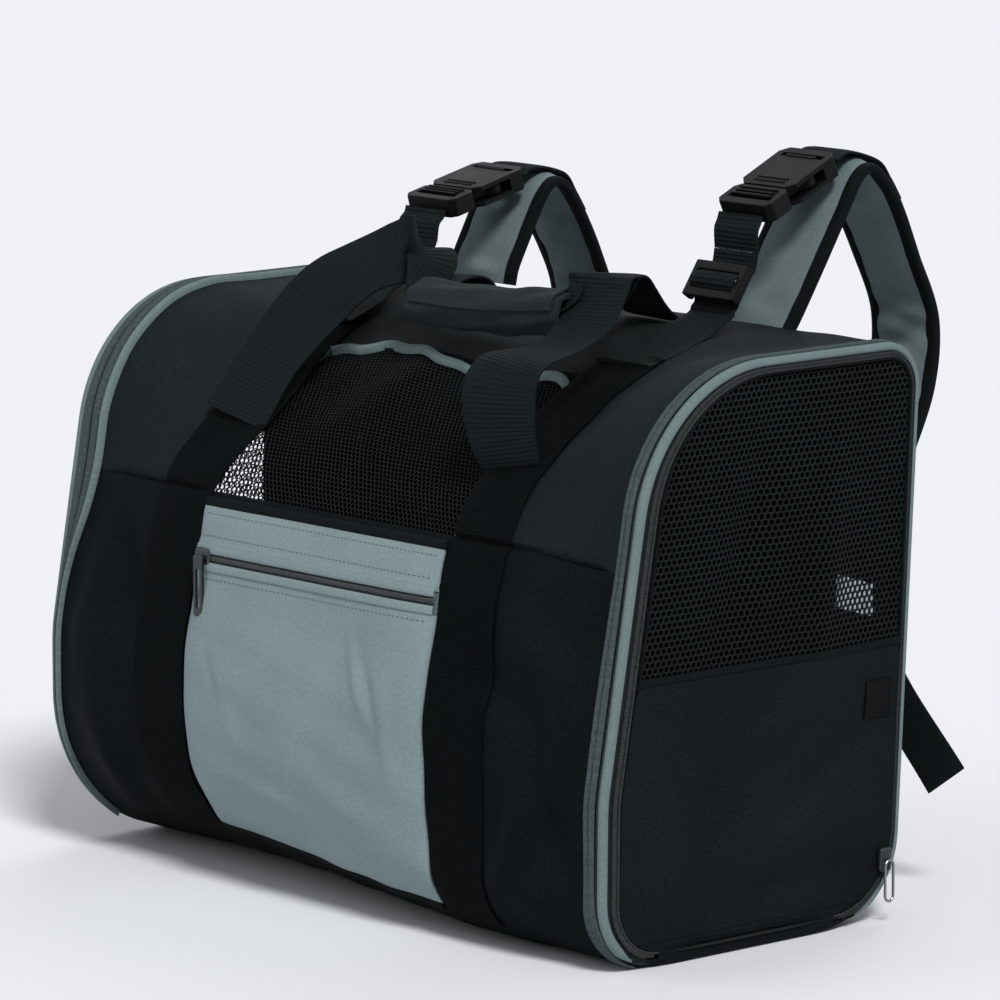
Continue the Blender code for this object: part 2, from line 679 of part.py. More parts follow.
def make_lower_webbing(side, sign, lock_at, slope, hinge):
    middle = sign * STRAP_X
    spot, normal = station(back_at(0.046))
    anchor = spot + normal * 0.0022
    along = np.array((math.cos(slope), math.sin(slope)))
    leave = lock_at + along * (LOCK_HALF + 0.0015)
    run = [(middle, *leave), (sign * 0.128, *(leave * 0.55 + anchor * 0.45 + (0.004, 0.0))),
           (sign * 0.150, *(anchor + (0.003, 0.030))), (sign * 0.156, *anchor)]
    path = smooth_path(run, 3)
    widths = np.full(len(path), LOWER_WEBBING)
    facing = np.tile((1.0, 0.0, 0.0), (len(path), 1))
    dressed(ribbon(f"lower_webbing_{side}", path, widths, facing, LOWER_THICK), WEBBING_BLACK)
    if side == "left":
        return
    start = lock_at + along * 0.004 + np.array((along[1], -along[0])) * -0.0060
    hang = [(middle, *start), (0.133, 0.166, 0.150), (0.158, 0.150, 0.112), (0.188, 0.156, 0.058)]
    path = smooth_path(hang, 3)
    widths = np.full(len(path), LOWER_WEBBING)
    facing = np.linspace((1.0, 0.0, 0.0), (0.85, 0.25, 0.45), len(path))
    tail = ribbon("strap_tail", path, widths, facing, LOWER_THICK)
    dressed(carried(tail, hinge), WEBBING_BLACK)


# Buckles and lifter webbing

def make_socket(side, sign, strap):
    slope = BUCKLE_SLOPE[side]
    along = np.array((math.cos(slope), math.sin(slope)))
    mouth = np.array(BUCKLE_FRONT[side]) + along * (PLUG_LENGTH + GAP)
    shape = rounded_box(BUCKLE_WIDTH, 0.0, SOCKET_LENGTH, 0.004)
    body = as_mesh(drawn(f"buckle_socket_{side}", [shape], BUCKLE_THICK))
    tilted(body, sign * WEBBING_X, mouth, slope)
    inside = block(f"socket_room_{side}", (0.0310, 0.0250, 0.0070), (0.0, 0.0115, 0.0))
    shaped(body, inside, "DIFFERENCE")
    channel = block(f"socket_channel_{side}", (0.0550, 0.0250, 0.0064), (0.0, 0.0115, 0.0))
    shaped(body, channel, "DIFFERENCE")
    slot = block(f"socket_slot_{side}", (0.0295, SLOT, 0.0300), (0.0, 0.0295, 0.0))
    shaped(body, slot, "DIFFERENCE")
    dressed(carried(body, strap), PLASTIC_BLACK, 0.40)
    return mouth, along


def make_tab(side, sign, strap, mouth, along):
    """Short webbing from the socket's bar to the strap's crest, sewn on its outer face."""
    path = smooth_path(STRAP_PATH[side], 3)
    crest = int(np.argmax(path[:, 1]))
    over = thick_path(path, STRAP_THICK + 6 * GAP + WEBBING_THICK)[crest - 1:crest + 4]
    bar = mouth + along * (SOCKET_LENGTH + 0.0012)
    route = smooth_path([bar, *over], 2)
    band = across(f"socket_tab_{side}", [thick_path(route, WEBBING_THICK)],
                  sign * WEBBING_X - LIFTER / 2, sign * WEBBING_X + LIFTER / 2)
    dressed(carried(band, strap), WEBBING_BLACK)


def make_plug(side, sign, strap, mouth):
    slope = BUCKLE_SLOPE[side]
    draw = pivot(f"{side}_plug_axis", (sign * WEBBING_X, *mouth), strap)
    shape = rounded_box(BUCKLE_WIDTH, -PLUG_LENGTH, -GAP, 0.003)
    base = as_mesh(drawn(f"buckle_plug_{side}", [shape], BUCKLE_THICK - 0.001))
    tilted(base, sign * WEBBING_X, mouth, slope)
    tongue = block(f"plug_tongue_{side}", (0.0064, 0.0200, 0.0058), (0.0, 0.0085, 0.0))
    shaped(base, tongue, "UNION")
    slot = block(f"plug_slot_{side}", (0.0295, SLOT, 0.0300), (0.0, -0.0110, 0.0))
    shaped(base, slot, "DIFFERENCE")
    dressed(carried(base, draw), PLASTIC_BLACK, 0.40)
    for edge, way in (("outer", sign), ("inner", -sign)):
        make_prong(f"buckle_prong_{side}_{edge}", side, sign, way, draw, mouth)


def make_prong(name, side, sign, way, draw, mouth):
    slope = BUCKLE_SLOPE[side]
    outline = [(-0.0022, 0.0), (0.0022, 0.0), (0.0030, 0.0095), (0.0072, 0.0135), (0.0070, 0.0170),
               (0.0016, PRONG_LENGTH), (-0.0010, PRONG_LENGTH), (-0.0002, 0.0120)]
    loop = [(way * u, v) for u, v in outline]
    prong = drawn(name, [loop[::way]], 0.0050)
    along = np.array((math.cos(slope), math.sin(slope)))
    root = mouth + along * 0.0008
    spring = pivot(f"{name}_axis", (sign * WEBBING_X + way * PRONG_X, *root), draw)
    tilted(prong, sign * WEBBING_X + way * PRONG_X, root, slope)
    dressed(carried(prong, spring), PLASTIC_BLACK, 0.40)


def make_glide(side, sign, strap):
    """Slider that the lifter webbing runs through, between two bars above it and one below."""
    rail = pivot(f"{side}_glide_axis", (sign * WEBBING_X, *GLIDE_AT[side]), strap)
    body = block(f"tri_glide_{side}", (GLIDE_WIDTH, GLIDE_LENGTH, GLIDE_THICK))
    tilted(body, sign * WEBBING_X, GLIDE_AT[side], GLIDE_SLOPE[side])
    inner = GLIDE_WIDTH - 0.006
    lane = block(f"glide_lane_{side}", (inner, 0.060, 0.0030))
    shaped(body, lane, "DIFFERENCE")
    above = block(f"glide_above_{side}", (inner, 0.0105, 0.0100), (0.0, 0.0, 0.0050))
    shaped(body, above, "DIFFERENCE")
    for end in (-1, 1):
        below = block(f"glide_below_{side}_{end}", (inner, 0.0125, 0.0100), (0.0, end * 0.0088, -0.0050))
        shaped(body, below, "DIFFERENCE")
    dressed(carried(body, rail), PLASTIC_BLACK, 0.40)


def make_lifter(side, sign, mouth, along):
    """Webbing from the body to the slider, straight through it, and on to the plug's bar."""
    glide = np.array(GLIDE_AT[side])
    slope = GLIDE_SLOPE[side]
    way = np.array((math.cos(slope), math.sin(slope)))
    spot, normal = station(top_at(WEBBING_END_Y + 0.0012))
    root = spot + normal * (GAP + WEBBING_THICK / 2)
    reach = glide - way * 0.019
    lower = [root, root + (reach - root) * (0.4, 0.1), reach,
             glide - way * 0.011, glide, glide + way * 0.0195]
    low, high = sign * WEBBING_X - LIFTER / 2, sign * WEBBING_X + LIFTER / 2
    lifter = thick_path(smooth_path(lower, 3), WEBBING_THICK)
    dressed(across(f"lifter_webbing_{side}", [lifter], low, high), WEBBING_BLACK)
    bar = mouth - along * (PLUG_LENGTH + 0.0022)
    first = glide + way * 0.0205
    upper = [first, first + way * 0.004, bar - along * 0.004 + (0.0, -0.004), bar]
    plug_webbing = thick_path(smooth_path(upper, 3), WEBBING_THICK)
    dressed(across(f"plug_webbing_{side}", [plug_webbing], low, high), WEBBING_BLACK)


def main():
    make_shell()
    make_window()
    make_inside()
    make_pocket()
    make_pocket_slider()
    make_handle()
    for side, sign in SIDES.items():
        make_body_webbing(side, sign)
        make_end_trim(side, sign)
        hinge = make_door(side, sign)
        if side == "right":
            make_label(hinge)
        make_door_slider(side, sign)
        strap = make_strap(side, sign)
        mouth, along = make_socket(side, sign, strap)
        make_tab(side, sign, strap, mouth, along)
        make_plug(side, sign, strap, mouth)
        make_glide(side, sign, strap)
        make_lifter(side, sign, mouth, along)


main()
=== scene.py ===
import math

import bmesh
import bpy
import numpy as np
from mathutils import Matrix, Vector


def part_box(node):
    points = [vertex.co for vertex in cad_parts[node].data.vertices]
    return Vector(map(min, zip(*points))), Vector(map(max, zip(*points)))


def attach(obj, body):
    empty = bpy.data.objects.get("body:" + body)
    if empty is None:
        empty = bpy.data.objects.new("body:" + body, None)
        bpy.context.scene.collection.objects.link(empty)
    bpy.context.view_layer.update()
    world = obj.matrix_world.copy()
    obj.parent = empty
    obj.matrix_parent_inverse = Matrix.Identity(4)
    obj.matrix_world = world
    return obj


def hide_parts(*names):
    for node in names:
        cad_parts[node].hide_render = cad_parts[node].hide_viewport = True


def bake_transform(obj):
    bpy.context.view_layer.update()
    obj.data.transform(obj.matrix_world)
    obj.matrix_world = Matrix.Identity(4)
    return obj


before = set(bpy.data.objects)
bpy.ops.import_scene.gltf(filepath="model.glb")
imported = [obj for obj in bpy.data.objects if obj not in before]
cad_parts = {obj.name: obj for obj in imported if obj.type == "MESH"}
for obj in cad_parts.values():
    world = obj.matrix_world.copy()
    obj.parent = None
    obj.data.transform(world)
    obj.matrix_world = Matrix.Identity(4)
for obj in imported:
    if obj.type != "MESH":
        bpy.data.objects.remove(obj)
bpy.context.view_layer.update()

scene = bpy.context.scene
print("frame loaded with", len(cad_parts), "nodes")


# camera, floor and light

cameraView = {"azimuth": 48.4327, "elevation": 10.1329, "distance": 3.48893, "target": (0.0, 0.0, 0.145),
              "focusPx": 6849.42, "centreX": 469.256, "centreY": 599.219, "imagePx": 1000}
studio = {"floor": (0.885, 0.893, 0.925), "backdrop": (0.905, 0.913, 0.947),
          "sky": (0.93, 0.96, 1.0), "skyLevel": 0.29,
          "suns": (("keySun", (0.78, -0.36, 1.00), 2.25, 16), ("fillSun", (-0.75, -0.80, 0.70), 0.34, 40),
                   ("rimSun", (-0.45, 0.75, 0.85), 0.50, 30))}


def makeCamera(view):
    # the lens axis leaves the camera through the middle of the picture, so the lens needs no shift
    turn, rise = math.radians(view["azimuth"]), math.radians(view["elevation"])
    back = np.array((math.sin(turn) * math.cos(rise), -math.cos(turn) * math.cos(rise), math.sin(rise)))
    across = np.array((math.cos(turn), math.sin(turn), 0.0))
    upward = np.cross(back, across)
    middle = view["imagePx"] / 2
    look = (-back + across * (middle - view["centreX"]) / view["focusPx"]
            + upward * (view["centreY"] - middle) / view["focusPx"])
    camera = bpy.data.objects.new("photoCamera", bpy.data.cameras.new("photoCamera"))
    camera.data.sensor_width = 36.0
    camera.data.lens = 36.0 * view["focusPx"] / view["imagePx"]
    camera.data.clip_end = 200.0
    camera.location = Vector(view["target"]) + Vector(back) * view["distance"]
    camera.rotation_euler = Vector(look).to_track_quat("-Z", "Y").to_euler()
    scene.collection.objects.link(camera)
    scene.camera = camera


def makeStudio(look):
    # pale floor, three suns, and a world: dim sky for diffuse rays, pale backdrop for all others
    floorMesh = bpy.data.meshes.new("floor")
    half = 40.0
    floorMesh.from_pydata([(-half, -half, -0.0005), (half, -half, -0.0005), (half, half, -0.0005),
                           (-half, half, -0.0005)], [], [(0, 1, 2, 3)])
    floor = bpy.data.objects.new("floor", floorMesh)
    scene.collection.objects.link(floor)
    paper = bpy.data.materials.new("paleFloor")
    paper.use_nodes = True
    shader = paper.node_tree.nodes["Principled BSDF"]
    shader.inputs["Base Color"].default_value = (*look["floor"], 1.0)
    shader.inputs["Roughness"].default_value = 0.95
    shader.inputs["Specular IOR Level"].default_value = 0.0
    floorMesh.materials.append(paper)
    for name, place, level, spread in look["suns"]:
        sun = bpy.data.objects.new(name, bpy.data.lights.new(name, "SUN"))
        sun.data.energy = level
        sun.data.angle = math.radians(spread)
        sun.rotation_euler = Vector(place).to_track_quat("Z", "Y").to_euler()
        scene.collection.objects.link(sun)
    world = bpy.data.worlds.new("studio")
    scene.world = world
    world.use_nodes = True
    nodes, links = world.node_tree.nodes, world.node_tree.links
    nodes.clear()
    sky, plain = nodes.new("ShaderNodeBackground"), nodes.new("ShaderNodeBackground")
    sky.inputs["Color"].default_value = (*look["sky"], 1.0)
    sky.inputs["Strength"].default_value = look["skyLevel"]
    plain.inputs["Color"].default_value = (*look["backdrop"], 1.0)
    path, seen = nodes.new("ShaderNodeLightPath"), nodes.new("ShaderNodeMath")
    seen.operation = "MAXIMUM"
    clear = nodes.new("ShaderNodeMath")
    clear.operation = "MAXIMUM"
    links.new(path.outputs["Is Glossy Ray"], clear.inputs[0])
    links.new(path.outputs["Is Transmission Ray"], clear.inputs[1])
    links.new(path.outputs["Is Camera Ray"], seen.inputs[0])
    links.new(clear.outputs[0], seen.inputs[1])
    mix, out = nodes.new("ShaderNodeMixShader"), nodes.new("ShaderNodeOutputWorld")
    links.new(seen.outputs[0], mix.inputs["Fac"])
    links.new(sky.outputs[0], mix.inputs[1])
    links.new(plain.outputs[0], mix.inputs[2])
    links.new(mix.outputs[0], out.inputs["Surface"])
    scene.view_settings.view_transform = "Standard"


makeCamera(cameraView)
makeStudio(studio)
print("camera and studio set")


# finishes: each is a Principled material, with shared weave and patch groups

def newGroup(name, inputs, outputs):
    # empty node group with number inputs and outputs, and its two end nodes
    group = bpy.data.node_groups.new(name, "ShaderNodeTree")
    for title, start in inputs:
        socket = group.interface.new_socket(title, in_out="INPUT", socket_type="NodeSocketFloat")
        socket.default_value = start
    for title in outputs:
        group.interface.new_socket(title, in_out="OUTPUT", socket_type="NodeSocketFloat")
    return group, group.nodes.new("NodeGroupInput"), group.nodes.new("NodeGroupOutput")


def mathNode(tree, operation, *values):
    # one Math node: a number sets its input, anything else is linked to it
    node = tree.nodes.new("ShaderNodeMath")
    node.operation = operation
    for slot, value in enumerate(values):
        if isinstance(value, (int, float)):
            node.inputs[slot].default_value = value
        else:
            tree.links.new(value, node.inputs[slot])
    return node.outputs[0]


def weaveGroup():
    # plain weave: two crossed sine waves of the piece's own flat coordinates, in metres, broken up by noise
    group, given, result = newGroup("plainWeave", (("Pitch", 0.0008), ("Slub", 0.4)), ("Height", "Tint"))
    flat = group.nodes.new("ShaderNodeTexCoord")
    parts = group.nodes.new("ShaderNodeSeparateXYZ")
    group.links.new(flat.outputs["UV"], parts.inputs[0])
    waves = []
    for axis in ("X", "Y"):
        turns = mathNode(group, "DIVIDE", parts.outputs[axis], given.outputs["Pitch"])
        waves.append(mathNode(group, "SINE", mathNode(group, "MULTIPLY", turns, 2 * math.pi)))
    crossed = mathNode(group, "MULTIPLY", waves[0], waves[1])
    slub = group.nodes.new("ShaderNodeTexNoise")
    slub.inputs["Scale"].default_value = 620.0
    slub.inputs["Detail"].default_value = 2.0
    group.links.new(flat.outputs["UV"], slub.inputs["Vector"])
    uneven = mathNode(group, "MULTIPLY", mathNode(group, "SUBTRACT", slub.outputs["Fac"], 0.5),
                      given.outputs["Slub"])
    woven = mathNode(group, "MULTIPLY_ADD", crossed, 0.5, 0.5)
    group.links.new(mathNode(group, "ADD", woven, uneven), result.inputs["Height"])
    plain = mathNode(group, "MULTIPLY_ADD", woven, 0.30, 0.85)
    group.links.new(mathNode(group, "MULTIPLY_ADD", uneven, 1.7, plain), result.inputs["Tint"])
    return group


def patchGroup():
    # broad soft patches of uneven tone; where they are deep, as on the black cloths, they are painted shade
    # standing in for soft folds
    group, given, result = newGroup("toneAndShadePatches", (("Size", 14.0), ("Depth", 0.2)), ("Shade", "Rough"))
    place = group.nodes.new("ShaderNodeTexCoord")
    cloud = group.nodes.new("ShaderNodeTexNoise")
    cloud.inputs["Detail"].default_value = 4.0
    cloud.inputs["Roughness"].default_value = 0.62
    group.links.new(place.outputs["Object"], cloud.inputs["Vector"])
    group.links.new(given.outputs["Size"], cloud.inputs["Scale"])
    swing = mathNode(group, "MULTIPLY", mathNode(group, "SUBTRACT", cloud.outputs["Fac"], 0.5),
                     given.outputs["Depth"])
    group.links.new(mathNode(group, "MULTIPLY_ADD", swing, 2.0, 1.0), result.inputs["Shade"])
    group.links.new(swing, result.inputs["Rough"])
    return group


weave, patches = weaveGroup(), patchGroup()
finish = {}


def startFinish(name, rough, gloss, patchSize, patchDepth):
    # Principled material: roughness plus the swing of its patches; gives its tree, shader and patch shade
    material = bpy.data.materials.new(name)
    material.use_nodes = True
    finish[name] = material
    tree = material.node_tree
    shader = tree.nodes["Principled BSDF"]
    shader.inputs["Specular IOR Level"].default_value = gloss
    patchNode = tree.nodes.new("ShaderNodeGroup")
    patchNode.node_tree = patches
    patchNode.inputs["Size"].default_value = patchSize
    patchNode.inputs["Depth"].default_value = patchDepth
    tree.links.new(mathNode(tree, "ADD", patchNode.outputs["Rough"], rough), shader.inputs["Roughness"])
    return tree, shader, patchNode.outputs["Shade"]


def endFinish(tree, shader, colour, shade, height, depth, reach):
    # colour times shade, and the height as relief of a given strength and reach
    tinted = tree.nodes.new("ShaderNodeVectorMath")
    tinted.operation = "SCALE"
    tinted.inputs[0].default_value = colour
    tree.links.new(shade, tinted.inputs["Scale"])
    tree.links.new(tinted.outputs[0], shader.inputs["Base Color"])
    relief = tree.nodes.new("ShaderNodeBump")
    relief.inputs["Strength"].default_value = depth
    relief.inputs["Distance"].default_value = reach
    tree.links.new(height, relief.inputs["Height"])
    tree.links.new(relief.outputs[0], shader.inputs["Normal"])


def clothFinish(name, colour, pitch, depth, slub=0.4, rough=0.82, patchSize=14.0, patchDepth=0.16, sheen=0.0,
                gloss=0.10):
    # cloth: colour times the weave's tint times the patch shade, with the weave's height as relief
    tree, shader, shade = startFinish(name, rough, gloss, patchSize, patchDepth)
    shader.inputs["Sheen Weight"].default_value = sheen
    shader.inputs["Sheen Roughness"].default_value = 0.5
    threads = tree.nodes.new("ShaderNodeGroup")
    threads.node_tree = weave
    threads.inputs["Pitch"].default_value = pitch
    threads.inputs["Slub"].default_value = slub
    shade = mathNode(tree, "MULTIPLY", threads.outputs["Tint"], shade)
    endFinish(tree, shader, colour, shade, threads.outputs["Height"], depth, pitch * 0.35)


def hardFinish(name, colour, rough, metal=0.0, grain=2600.0, depth=0.12, patchDepth=0.25, gloss=0.5):
    # plastic, metal or board: colour times the patch shade, with a fine grain as relief
    tree, shader, shade = startFinish(name, rough, gloss, 60.0, patchDepth)
    shader.inputs["Metallic"].default_value = metal
    place = tree.nodes.new("ShaderNodeTexCoord")
    speck = tree.nodes.new("ShaderNodeTexNoise")
    speck.inputs["Scale"].default_value = grain
    tree.links.new(place.outputs["Object"], speck.inputs["Vector"])
    endFinish(tree, shader, colour, shade, speck.outputs["Fac"], depth, 0.0002)


# the black cloths' deep patches are painted shade, standing in for the shade of soft folds
clothFinish("blackCloth", (0.0053, 0.0076, 0.0083), 0.0007, 0.45, slub=0.9, rough=0.72, patchSize=11.0,
            patchDepth=0.75, gloss=0.03)
# roof cloth: the black cloth painted lighter, as painted light and sheen where the arches and top face the
# light
clothFinish("roofClothPaintedLight", (0.0108, 0.0151, 0.0160), 0.0007, 0.45, slub=0.8, rough=0.70, patchSize=10.0,
            patchDepth=0.50, gloss=0.045)
# door cloth: the black cloth painted lighter, as painted light on the end faces
clothFinish("doorClothPaintedLight", (0.0078, 0.0106, 0.0113), 0.0007, 0.45, slub=0.8, rough=0.72, patchSize=9.0,
            patchDepth=0.80, gloss=0.035)
clothFinish("greyCloth", (0.232, 0.298, 0.308), 0.0008, 0.40, slub=0.28, patchDepth=0.16)
clothFinish("strapGrey", (0.172, 0.221, 0.227), 0.0008, 0.45, slub=0.35, patchDepth=0.20)
clothFinish("pipingGrey", (0.160, 0.212, 0.214), 0.0006, 0.40, patchDepth=0.14)
# dull grey also serves as painted shade on the sides of the window binding
clothFinish("dullGrey", (0.060, 0.080, 0.082), 0.0006, 0.45, slub=0.8, patchDepth=0.16)
clothFinish("rimGrey", (0.034, 0.045, 0.047), 0.0006, 0.45, slub=0.8, patchDepth=0.16)
clothFinish("blackWebbing", (0.0090, 0.0125, 0.0134), 0.0012, 0.55, slub=0.8, rough=0.66, gloss=0.045)
clothFinish("bandBlack", (0.0034, 0.0048, 0.0052), 0.0012, 0.55, slub=0.8, rough=0.70, gloss=0.025)
clothFinish("blackBinding", (0.0056, 0.0078, 0.0084), 0.0010, 0.55, slub=0.7, rough=0.70, gloss=0.04)
clothFinish("gripCloth", (0.0213, 0.0276, 0.0288), 0.0009, 0.50, slub=0.7, rough=0.72, gloss=0.05)
clothFinish("labelBlack", (0.0032, 0.0042, 0.0046), 0.0006, 0.30, rough=0.60, gloss=0.05)
# colour of a dark sheet: painted shade of the inside behind the left door's net
clothFinish("paintedInsideShade", (0.0040, 0.0050, 0.0054), 0.0008, 0.40, rough=0.85, gloss=0.02)
clothFinish("netThread", (0.0098, 0.0130, 0.0137), 0.0005, 0.35, rough=0.60, patchSize=10.0, patchDepth=0.55,
            gloss=0.05)
clothFinish("zipTape", (0.0170, 0.0200, 0.0208), 0.0006, 0.50, slub=0.8, rough=0.75, gloss=0.06)
clothFinish("pocketTape", (0.105, 0.136, 0.142), 0.0006, 0.45, slub=0.5, patchDepth=0.14)
hardFinish("pocketCoil", (0.036, 0.042, 0.044), 0.42, gloss=0.35)
clothFinish("zipEdge", (0.034, 0.039, 0.040), 0.0006, 0.50, slub=0.8, rough=0.72, gloss=0.06)
hardFinish("zipCoil", (0.012, 0.0138, 0.0145), 0.38, gloss=0.35)
hardFinish("buckle", (0.0036, 0.0046, 0.0050), 0.48, depth=0.25, gloss=0.1)
hardFinish("nickel", (0.23, 0.25, 0.26), 0.36, metal=1.0, depth=0.05, patchDepth=0.20)
hardFinish("gunmetal", (0.050, 0.056, 0.058), 0.40, metal=0.9, depth=0.05, patchDepth=0.20)
hardFinish("board", (0.020, 0.022, 0.022), 0.75, grain=500.0, depth=0.4)
clothFinish("careLabel", (0.84, 0.91, 0.93), 0.0005, 0.2, patchDepth=0.05)
clothFinish("matCloth", (0.060, 0.078, 0.081), 0.0016, 0.70, slub=1.0, rough=0.9, sheen=0.10)
clothFinish("thread", (0.110, 0.145, 0.150), 0.0004, 0.3, rough=0.6)
print("finishes made:", len(finish))


# mesh tools

def gridFaces(rows, cols, wrap=False):
    # four-sided faces between neighbouring rows and columns, closed round the columns with wrap
    row = np.arange(rows - 1)[:, None] * cols
    col = np.arange(cols if wrap else cols - 1)[None]
    after = (col + 1) % cols
    return np.stack((row + col, row + after, row + cols + after, row + cols + col), axis=-1).reshape(-1, 4)


def sheetFaces(rows, cols):
    # outer side, inner side turned round, and a rim that joins their borders
    count = rows * cols
    outer = gridFaces(rows, cols)
    border = np.concatenate((np.arange(cols), np.arange(1, rows) * cols + cols - 1,
                             (rows - 1) * cols + np.arange(cols - 2, -1, -1),
                             np.arange(rows - 2, 0, -1) * cols))
    after = np.roll(border, -1)
    rim = np.stack((after, border, border + count, after + count), axis=1)
    return np.concatenate((outer, outer[:, ::-1] + count, rim))


def makePiece(name, points, faces, uv, look, slot, body=None, stands=(), sharp=50, extraFaces=()):
    # mesh of points and faces with its UV, faced outwards, with finish, body and the nodes it replaces; slot
    # is not used
    mesh = bpy.data.meshes.new(name)
    points = np.asarray(points, float).reshape(-1, 3)
    mesh.from_pydata(points.tolist(), [], np.asarray(faces).tolist() + list(extraFaces))
    corner = np.empty(len(mesh.loops), int)
    mesh.loops.foreach_get("vertex_index", corner)
    layer = mesh.uv_layers.new(name="flat")
    layer.data.foreach_set("uv", np.asarray(uv, float).reshape(-1, 2)[corner].ravel())
    shape = bmesh.new()
    shape.from_mesh(mesh)
    bmesh.ops.recalc_face_normals(shape, faces=shape.faces[:])
    shape.to_mesh(mesh)
    shape.free()
    mesh.shade_smooth()
    mesh.set_sharp_from_angle(angle=math.radians(sharp))
    mesh.materials.append(finish[look])
    obj = bpy.data.objects.new(name, mesh)
    scene.collection.objects.link(obj)
    if body:
        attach(obj, body)
    if stands:
        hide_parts(*stands)
    return obj


def sheetPiece(name, outer, inner, a, b, look, slot, **rest):
    # closed sheet: an outer and an inner grid of points, joined round their border; a and b are its UV
    flat = np.stack(np.broadcast_arrays(a, b), axis=-1).reshape(-1, 2)
    points = np.concatenate((outer.reshape(-1, 3), inner.reshape(-1, 3)))
    return makePiece(name, points, sheetFaces(*outer.shape[:2]), np.concatenate((flat, flat)), look, slot,
                     **rest)


def smoothRoute(points, step):
    # Catmull-Rom curve through the points, then read at even steps of its length; extra columns ride along
    points = np.asarray(points, float)
    longer = np.concatenate(([2 * points[0] - points[1]], points, [2 * points[-1] - points[-2]]))
    a, b, c, d = (longer[k:len(longer) - 3 + k][:, None] for k in range(4))
    t = np.linspace(0, 1, 24, endpoint=False)[None, :, None]
    curve = b + (c - a) * t / 2 + (2 * a - 5 * b + 4 * c - d) * t ** 2 / 2 + (3 * b - a - 3 * c
                                                                              + d) * t ** 3 / 2
    return evenRoute(np.concatenate((curve.reshape(-1, points.shape[1]), points[-1:])), step)


def evenRoute(curve, step):
    # the curve read again at even steps of its length
    run = np.concatenate(([0.0], np.cumsum(np.linalg.norm(np.diff(curve[:, :3], axis=0), axis=1))))
    even = np.linspace(0, run[-1], max(3, math.ceil(run[-1] / step) + 1))
    return np.stack([np.interp(even, run, column) for column in curve.T], axis=1)


def unit(vectors):
    # each vector divided by its length
    return vectors / np.linalg.norm(vectors, axis=-1, keepdims=True)


def alongOf(path):
    # direction of the path: central differences at unit length
    return unit(np.gradient(path, axis=0))


def runOf(path):
    # running length: the sum of the distances between points
    return np.concatenate(([0.0], np.cumsum(np.linalg.norm(np.diff(path, axis=0), axis=1))))


def fromEnds(path):
    # distance along the path to its nearer end
    run = runOf(path)
    return np.minimum(run, run[-1] - run)


def facingX(path):
    # the X direction at every point of the path
    return np.tile((1.0, 0.0, 0.0), (len(path), 1))


def ribHeight(ribs, run, u):
    # cross ribs: half their height times a cosine of the run over the pitch, fading at the band's edges
    return ribs["height"] / 2 * np.cos(2 * np.pi * run / ribs["pitch"])[:, None] * (1 - np.abs(u) ** 10)[None]


def bandPiece(name, path, facing, width, thick, look, slot, ribs=None, cols=9, edge=0.45, **rest):
    # woven band: path + facing * u * half width, up and down its normal by half its thickness
    along = alongOf(path)
    facing = unit(facing - along * (facing * along).sum(axis=1, keepdims=True))
    normal = np.cross(along, facing)
    run = runOf(path)
    u = np.sin(np.linspace(-1, 1, cols) * math.pi / 2)
    width = np.broadcast_to(np.asarray(width, float), run.shape)
    half = thick / 2 * (1 - edge * np.abs(u) ** 6)[None] * np.ones((len(run), 1))
    if ribs:
        half = half + ribHeight(ribs, run, u)
    middle = path[:, None] + facing[:, None] * (u[None, :, None] * width[:, None, None] / 2)
    step = half[:, :, None] * normal[:, None]
    across = u[None] * width[:, None] / 2
    return sheetPiece(name, middle + step, middle - step, across, run[:, None], look, slot, **rest)


def tubePiece(name, path, facing, wide, high, look, slot, sides=12, power=2.0, **rest):
    # rounded bar: a superellipse of half sizes wide (along facing) and high, carried along the path
    along = alongOf(path)
    facing = unit(facing - along * (facing * along).sum(axis=1, keepdims=True))
    normal = np.cross(along, facing)
    angle = np.arange(sides) * 2 * np.pi / sides
    cos, sin = np.cos(angle), np.sin(angle)
    flatCos, flatSin = np.sign(cos) * np.abs(cos) ** (2 / power), np.sign(sin) * np.abs(sin) ** (2 / power)
    wide = np.broadcast_to(np.asarray(wide, float), (len(path),))[:, None, None]
    high = np.broadcast_to(np.asarray(high, float), (len(path),))[:, None, None]
    points = (path[:, None] + facing[:, None] * flatCos[None, :, None] * wide
              + normal[:, None] * flatSin[None, :, None] * high)
    run = runOf(path)
    uv = np.stack(np.broadcast_arrays(angle[None] * 0.003, run[:, None]), axis=-1)
    faces = gridFaces(len(path), sides, wrap=True)
    caps = [list(range(sides - 1, -1, -1)), list(range((len(path) - 1) * sides, len(path) * sides))]
    return makePiece(name, points, faces, uv, look, slot, extraFaces=caps, **rest)


# the soft shell: an end outline carried along X, puffed out below the seam and sagging above it

